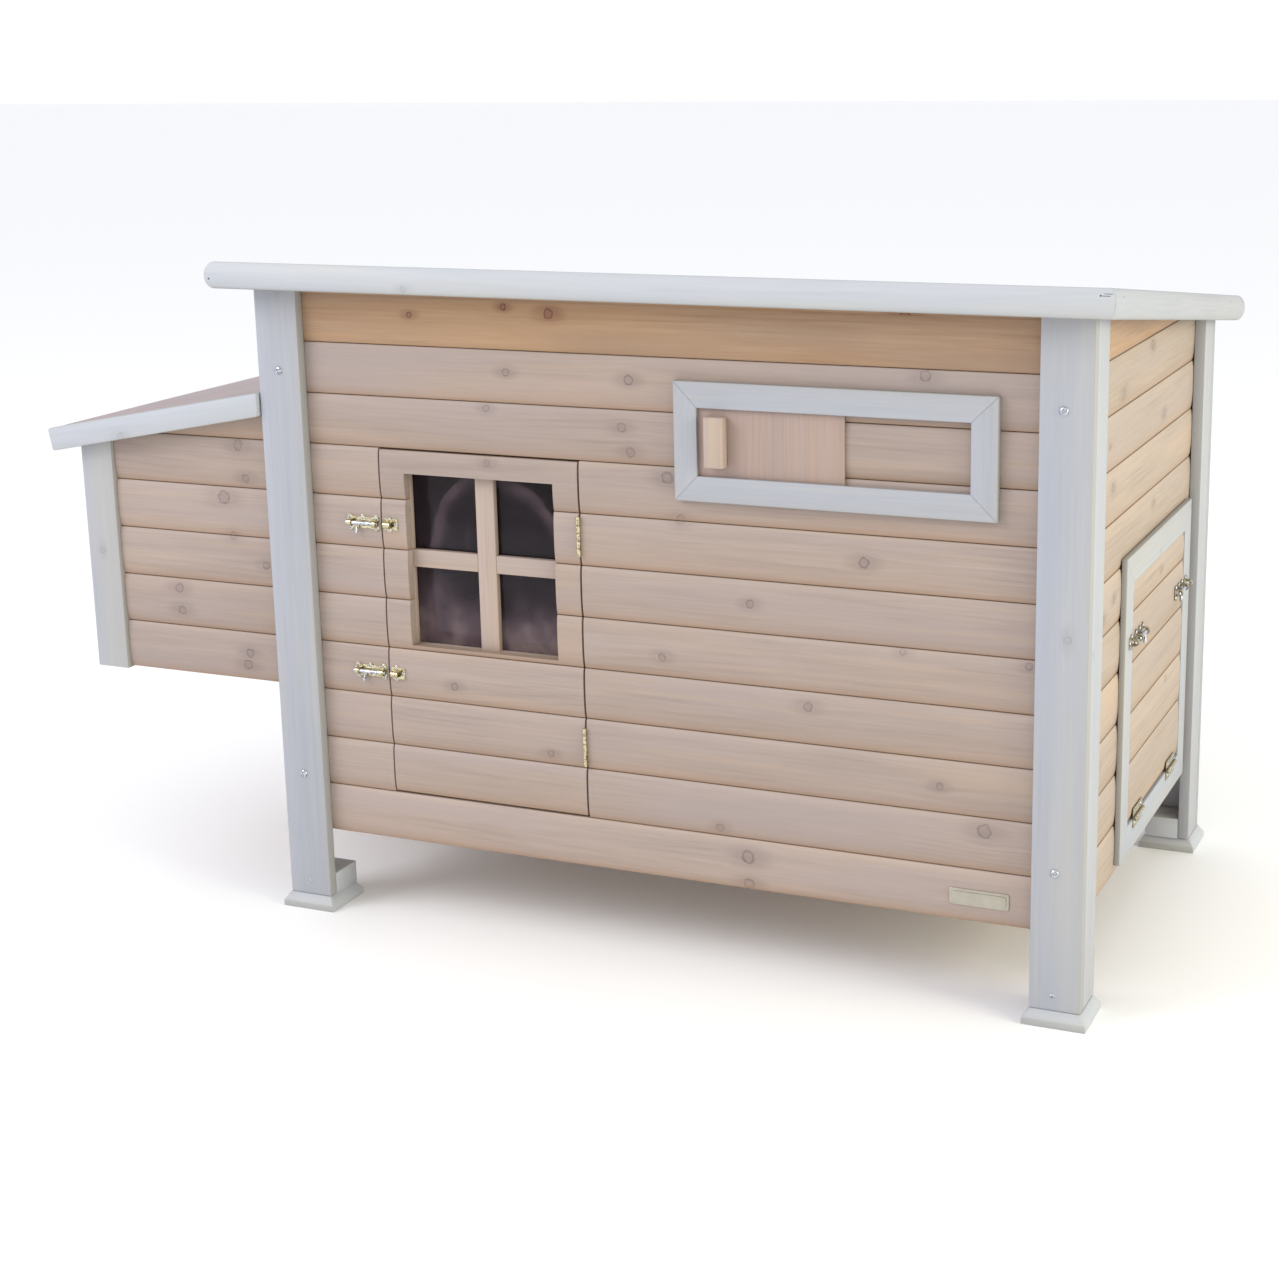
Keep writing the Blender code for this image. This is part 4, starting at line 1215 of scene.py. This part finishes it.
def pop_hinges():
    """Hinges with their leaves flat on the frame and the door, a neck to each turn."""
    basis = (Y, Z, X)
    for end in ("front", "back"):
        low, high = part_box(f"pop_hinge_{end}_fixed_leaf")
        pin = Vector((high.x - 0.0024, low.y, high.z - 0.0024 + GAP / 3))
        length = high.y - low.y
        middle = Vector((low.x, low.y + length / 2, pin.z))
        for first, (part, up) in enumerate((("fixed", -Z), ("moving", Z))):
            node = f"pop_hinge_{end}_{part}_leaf"
            piece = Piece(node + "_plate")
            knuckles(piece, "aged", Y, pin, length, HINGE_TURNS, first, HINGE_RADIUS)
            piece.fit(sheet_metal(length, 0.0100, 0.0009, 0.001), basis, middle + up * 0.0070, "aged")
            each = length / HINGE_TURNS
            for number in range(first, HINGE_TURNS, 2):
                near = Vector((low.x + 0.0001, low.y + each * number + 0.0002, pin.z))
                far = near + Vector((0.0008, each - 0.0004, 0.0)) + up * 0.0030
                piece.add(block(near, far, 0.0), "aged", Y, X)
            for along in (-0.0145, 0.0145):
                place = middle + X * 0.0006 + Y * along + up * 0.0072
                piece.stamp(SCREW, basis, place, "zinc", piece.random.uniform(0, 1.5))
            piece.done(node)


def post_fixings():
    """Pan-head screws and a nail in each front corner post."""
    piece = Piece("post_screws")
    pan, nail = dome(0.0049, 0.0022), dome(0.0026, 0.0008)
    basis, sunk = (X, Z, -Y), -0.0001
    for x in (0.028, 0.961):
        for z in (0.666, 0.173):
            piece.stamp(pan, basis, at(x, sunk, z), "zinc", piece.random.uniform(0, 1.5))
        piece.stamp(nail, basis, at(x, sunk, 0.034), "zinc")
    pan.free()
    nail.free()
    piece.done(like="corner_post_front_left")


def on_trim(place, outwards, rise):
    """A point on a trim's rounded side and the way out of it; rise is counted up from its middle."""
    half = TRIM_HEIGHT / 2
    point = place - outwards * TRIM_BULGE * (1 - math.cos(rise)) + ROOF_NORMAL * half * (math.sin(rise) - 1)
    out = (outwards * math.cos(rise) * half + ROOF_NORMAL * math.sin(rise) * TRIM_BULGE).normalized()
    return point - out * 0.0006, out


def trim_fixings():
    """Staples across the mitre of the front and right roof trims, and nails in the trims."""
    piece = Piece("trim_staples")
    head = dome(0.0013, 0.0003, cross=False)
    corner = ROOF_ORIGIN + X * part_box("roof_trim_right")[1].x
    for reach, rise in ((0.0105, 0.50), (0.0085, 0.66)):
        place, out = on_trim(corner - X * reach, -ROOF_SLOPE, rise)
        wire = block((-0.0042, -0.0004, -0.0002), (0.0042, 0.0004, 0.0003), 0.0002)
        piece.fit(wire, (X, out.cross(X), out), place, "dark")
    nails = [(-X * reach, -ROOF_SLOPE, rise, X) for reach, rise in ((0.0160, 0.52), (1.0510, -0.30))]
    nails += [(ROOF_SLOPE * reach, X, 0.5, ROOF_SLOPE) for reach in (0.036, 0.300, 0.620)]
    for shift, outwards, rise, along in nails:
        place, out = on_trim(corner + shift, outwards, rise)
        piece.stamp(head, (along, out.cross(along), out), place, "dark")
    head.free()
    piece.done(like="roof_trim_front")


def blank_plate():
    """A plain metal plate with a raised field on the lowest board."""
    low, high = at(0.8415, 0.0, 0.1178), at(0.9088, 0.0, 0.1369)
    size, middle = high - low, (low + high) / 2
    middle.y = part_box("front_wall")[0].y
    piece = Piece("blank_plate")
    for inset, thick, radius in ((0.0, 0.0012, 0.0028), (0.006, 0.0018, 0.0018)):
        plate = sheet_metal(size.x - inset, size.z - inset, thick, radius)
        piece.fit(plate, (X, Z, -Y), middle, "blank")
    piece.done(like="front_wall")


# ---------------------------------------------------------------- nest box lid


def lid_slab(spans, arris, plumb=False):
    """A board of the lid in (up the slope, back, above the top), plumb at its inner end or not."""
    low, high = zip(*spans)
    solid = block(low, high, arris)
    for vert in solid.verts:
        along, back, height = vert.co
        if plumb and along > high[0] - 0.003:
            along += height * math.tan(LID_PITCH)
        vert.co = LID_ORIGIN + LID_SLOPE * along + Y * (CORNER.y + back) + LID_NORMAL * height
    bmesh.ops.recalc_face_normals(solid, faces=solid.faces)
    return solid


def nest_lid():
    piece = Piece("nest_lid_trims")
    for side, out in zip(LID_SIDES, (-Y, Y)):
        trim = lid_slab(((0, LID_LENGTH), side, (LID_TRIM_LOW, 0)), 0.0024, plumb=True)
        piece.add(trim, "trim", LID_SLOPE, out, wild=1.0)
    outer = lid_slab(((0.0002, 0.0139), LID_CLEAR, (LID_TRIM_LOW, -0.0035)), 0.001)
    piece.add(outer, "trim", Y, -X, wild=1.0).done("nest_lid_trim")
    surface = ripple("lid felt", 0.30, 0.0011)

    def waves(u, v):
        edge = min(1.0, (v - LID_CLEAR[0]) / 0.03, (LID_CLEAR[1] - v) / 0.03)
        return -0.003 + edge * (0.0006 + surface(u, v))

    basis, spans = (LID_SLOPE, Y, LID_NORMAL), ((0.0005, LID_LENGTH - 0.0004), LID_CLEAR)
    wavy_sheet("nest_lid_felt", basis, LID_ORIGIN + Y * CORNER.y, spans, 0.002, waves, (40, 76))


def lid_hinge():
    """A strip hinge with many knuckles: a cranked leaf on the wall and one on the lid."""
    low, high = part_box("nest_hinge_fixed_leaf")
    pin = Vector((CORNER.x + 0.003, low.y, high.z - 0.022))
    length, thick = high.y - low.y, 0.0009
    fixed, moving = Piece("strip_hinge_wall_leaf"), Piece("strip_hinge_lid_leaf")
    for first, piece in enumerate((fixed, moving)):
        knuckles(piece, "strip", Y, pin, length, STRIP_TURNS, first, STRIP_RADIUS)
    crank = pin.x + 0.0033
    fixed.add(block((high.x - 0.001, low.y, pin.z), high, 0.0003), "strip", Y, -X)
    shelf = block((crank, low.y, pin.z), (high.x - thick, high.y, pin.z + thick), 0.0)
    fixed.add(shelf, "strip", Y, Z)
    each = length / STRIP_TURNS
    for number in range(STRIP_TURNS):
        near, far = low.y + each * number + 0.0003, low.y + each * (number + 1) - 0.0003
        if number % 2 == 0:
            neck = block((pin.x, near, pin.z), (crank + 0.0002, far, pin.z + thick), 0.0)
            fixed.add(neck, "strip", Y, Z)
        else:
            along = (LID_LENGTH - 0.0006, LID_LENGTH + 0.0050)
            neck = lid_slab((along, (near - CORNER.y, far - CORNER.y), (-0.0004, 0.0003)), 0.0)
            moving.add(neck, "strip", Y, Z)
    spans = ((LID_LENGTH - 0.0224, LID_LENGTH - 0.0004), (0.064, 0.560), (-0.0007, 0.0003))
    moving.add(lid_slab(spans, 0.0002), "strip", Y, Z)
    for number in range(8):
        back = low.y + length * (number + 0.5) / 8
        place = Vector((high.x - 0.0008, back, high.z - 0.008))
        fixed.stamp(SCREW, (Y, Z, -X), place, "zinc", number * 0.7)
        place = LID_ORIGIN + LID_SLOPE * (LID_LENGTH - 0.012) + Y * back + LID_NORMAL * 0.0002
        moving.stamp(SCREW, (Y, -LID_SLOPE, LID_NORMAL), place, "zinc", number * 0.9)
    fixed.done("nest_hinge_fixed_leaf")
    moving.done("nest_hinge_moving_leaf")


def kept_boards():
    """Flat boards that stay as they are in the CAD model, and the perch."""
    for node in ("floor_panel", "nest_floor", "nest_divider", "roof_panel", "nest_lid_panel"):
        mesh = NODES[node].data
        mesh.materials.clear()
        mesh.materials.append(FINISHES["sheet"])
    plain("perch_bar", "perch", 0.003, "raw", Y, Z, 1.5)


# ---------------------------------------------------------------- light, floor and camera


def camera():
    made = shown("camera", bpy.data.cameras.new("camera"))
    made.location = at(1.5093, -2.14835, 1.03936)
    turn = Matrix.Identity(4)
    for degrees, axis in ((19.325, "Z"), (76.434, "X"), (3.864, "Y")):
        turn = turn @ Matrix.Rotation(math.radians(degrees), 4, axis)
    made.rotation_euler = turn.to_euler()
    made.data.lens = 62.36
    made.data.sensor_width = 36.0
    made.data.shift_x = -0.0640
    made.data.shift_y = -0.0569
    bpy.context.scene.camera = made


def light(name, place, target, size, power, colour):
    lamp = bpy.data.lights.new(name, "AREA")
    lamp.shape = "RECTANGLE"
    lamp.size, lamp.size_y = size
    lamp.energy = power
    lamp.color = colour
    made = shown(name, lamp)
    made.location = place
    made.rotation_euler = (Vector(target) - Vector(place)).to_track_quat("-Z", "Y").to_euler()


def studio():
    world = bpy.data.worlds.new("studio")
    bpy.context.scene.world = world
    world.use_nodes = True
    feed(world.node_tree.nodes["Background"].inputs, ((1.0, 1.0, 1.0), 1.0))
    light("key", (3.7, -0.75, 1.3), (0.2, 0.0, 0.4), (1.8, 1.8), 75.0, (1.0, 0.96, 0.68))
    light("front", (-2.8, -3.0, 3.0), (-0.1, 0.0, 0.3), (2.6, 2.2), 88.0, (0.97, 0.96, 1.0))
    reach = 30.0
    floor = bpy.data.meshes.new("floor")
    square = [(x, y, 0) for x, y in rectangle((-reach, -reach), (reach, reach))]
    floor.from_pydata(square, [], [(0, 1, 2, 3)])
    floor.materials.append(principled("floor", Base_Color=(0.93, 0.94, 0.97), Roughness=0.9))
    shown("floor", floor)


bpy.context.scene.view_settings.view_transform = "Standard"
corner_posts()
walls()
nest_box()
roof_trims()
main_felt()
front_door()
vent()
pop_door()
front_hinges()
pop_hinges()
bolts()
nest_lid()
lid_hinge()
post_fixings()
trim_fixings()
blank_plate()
kept_boards()
SCREW.free()
camera()
studio()
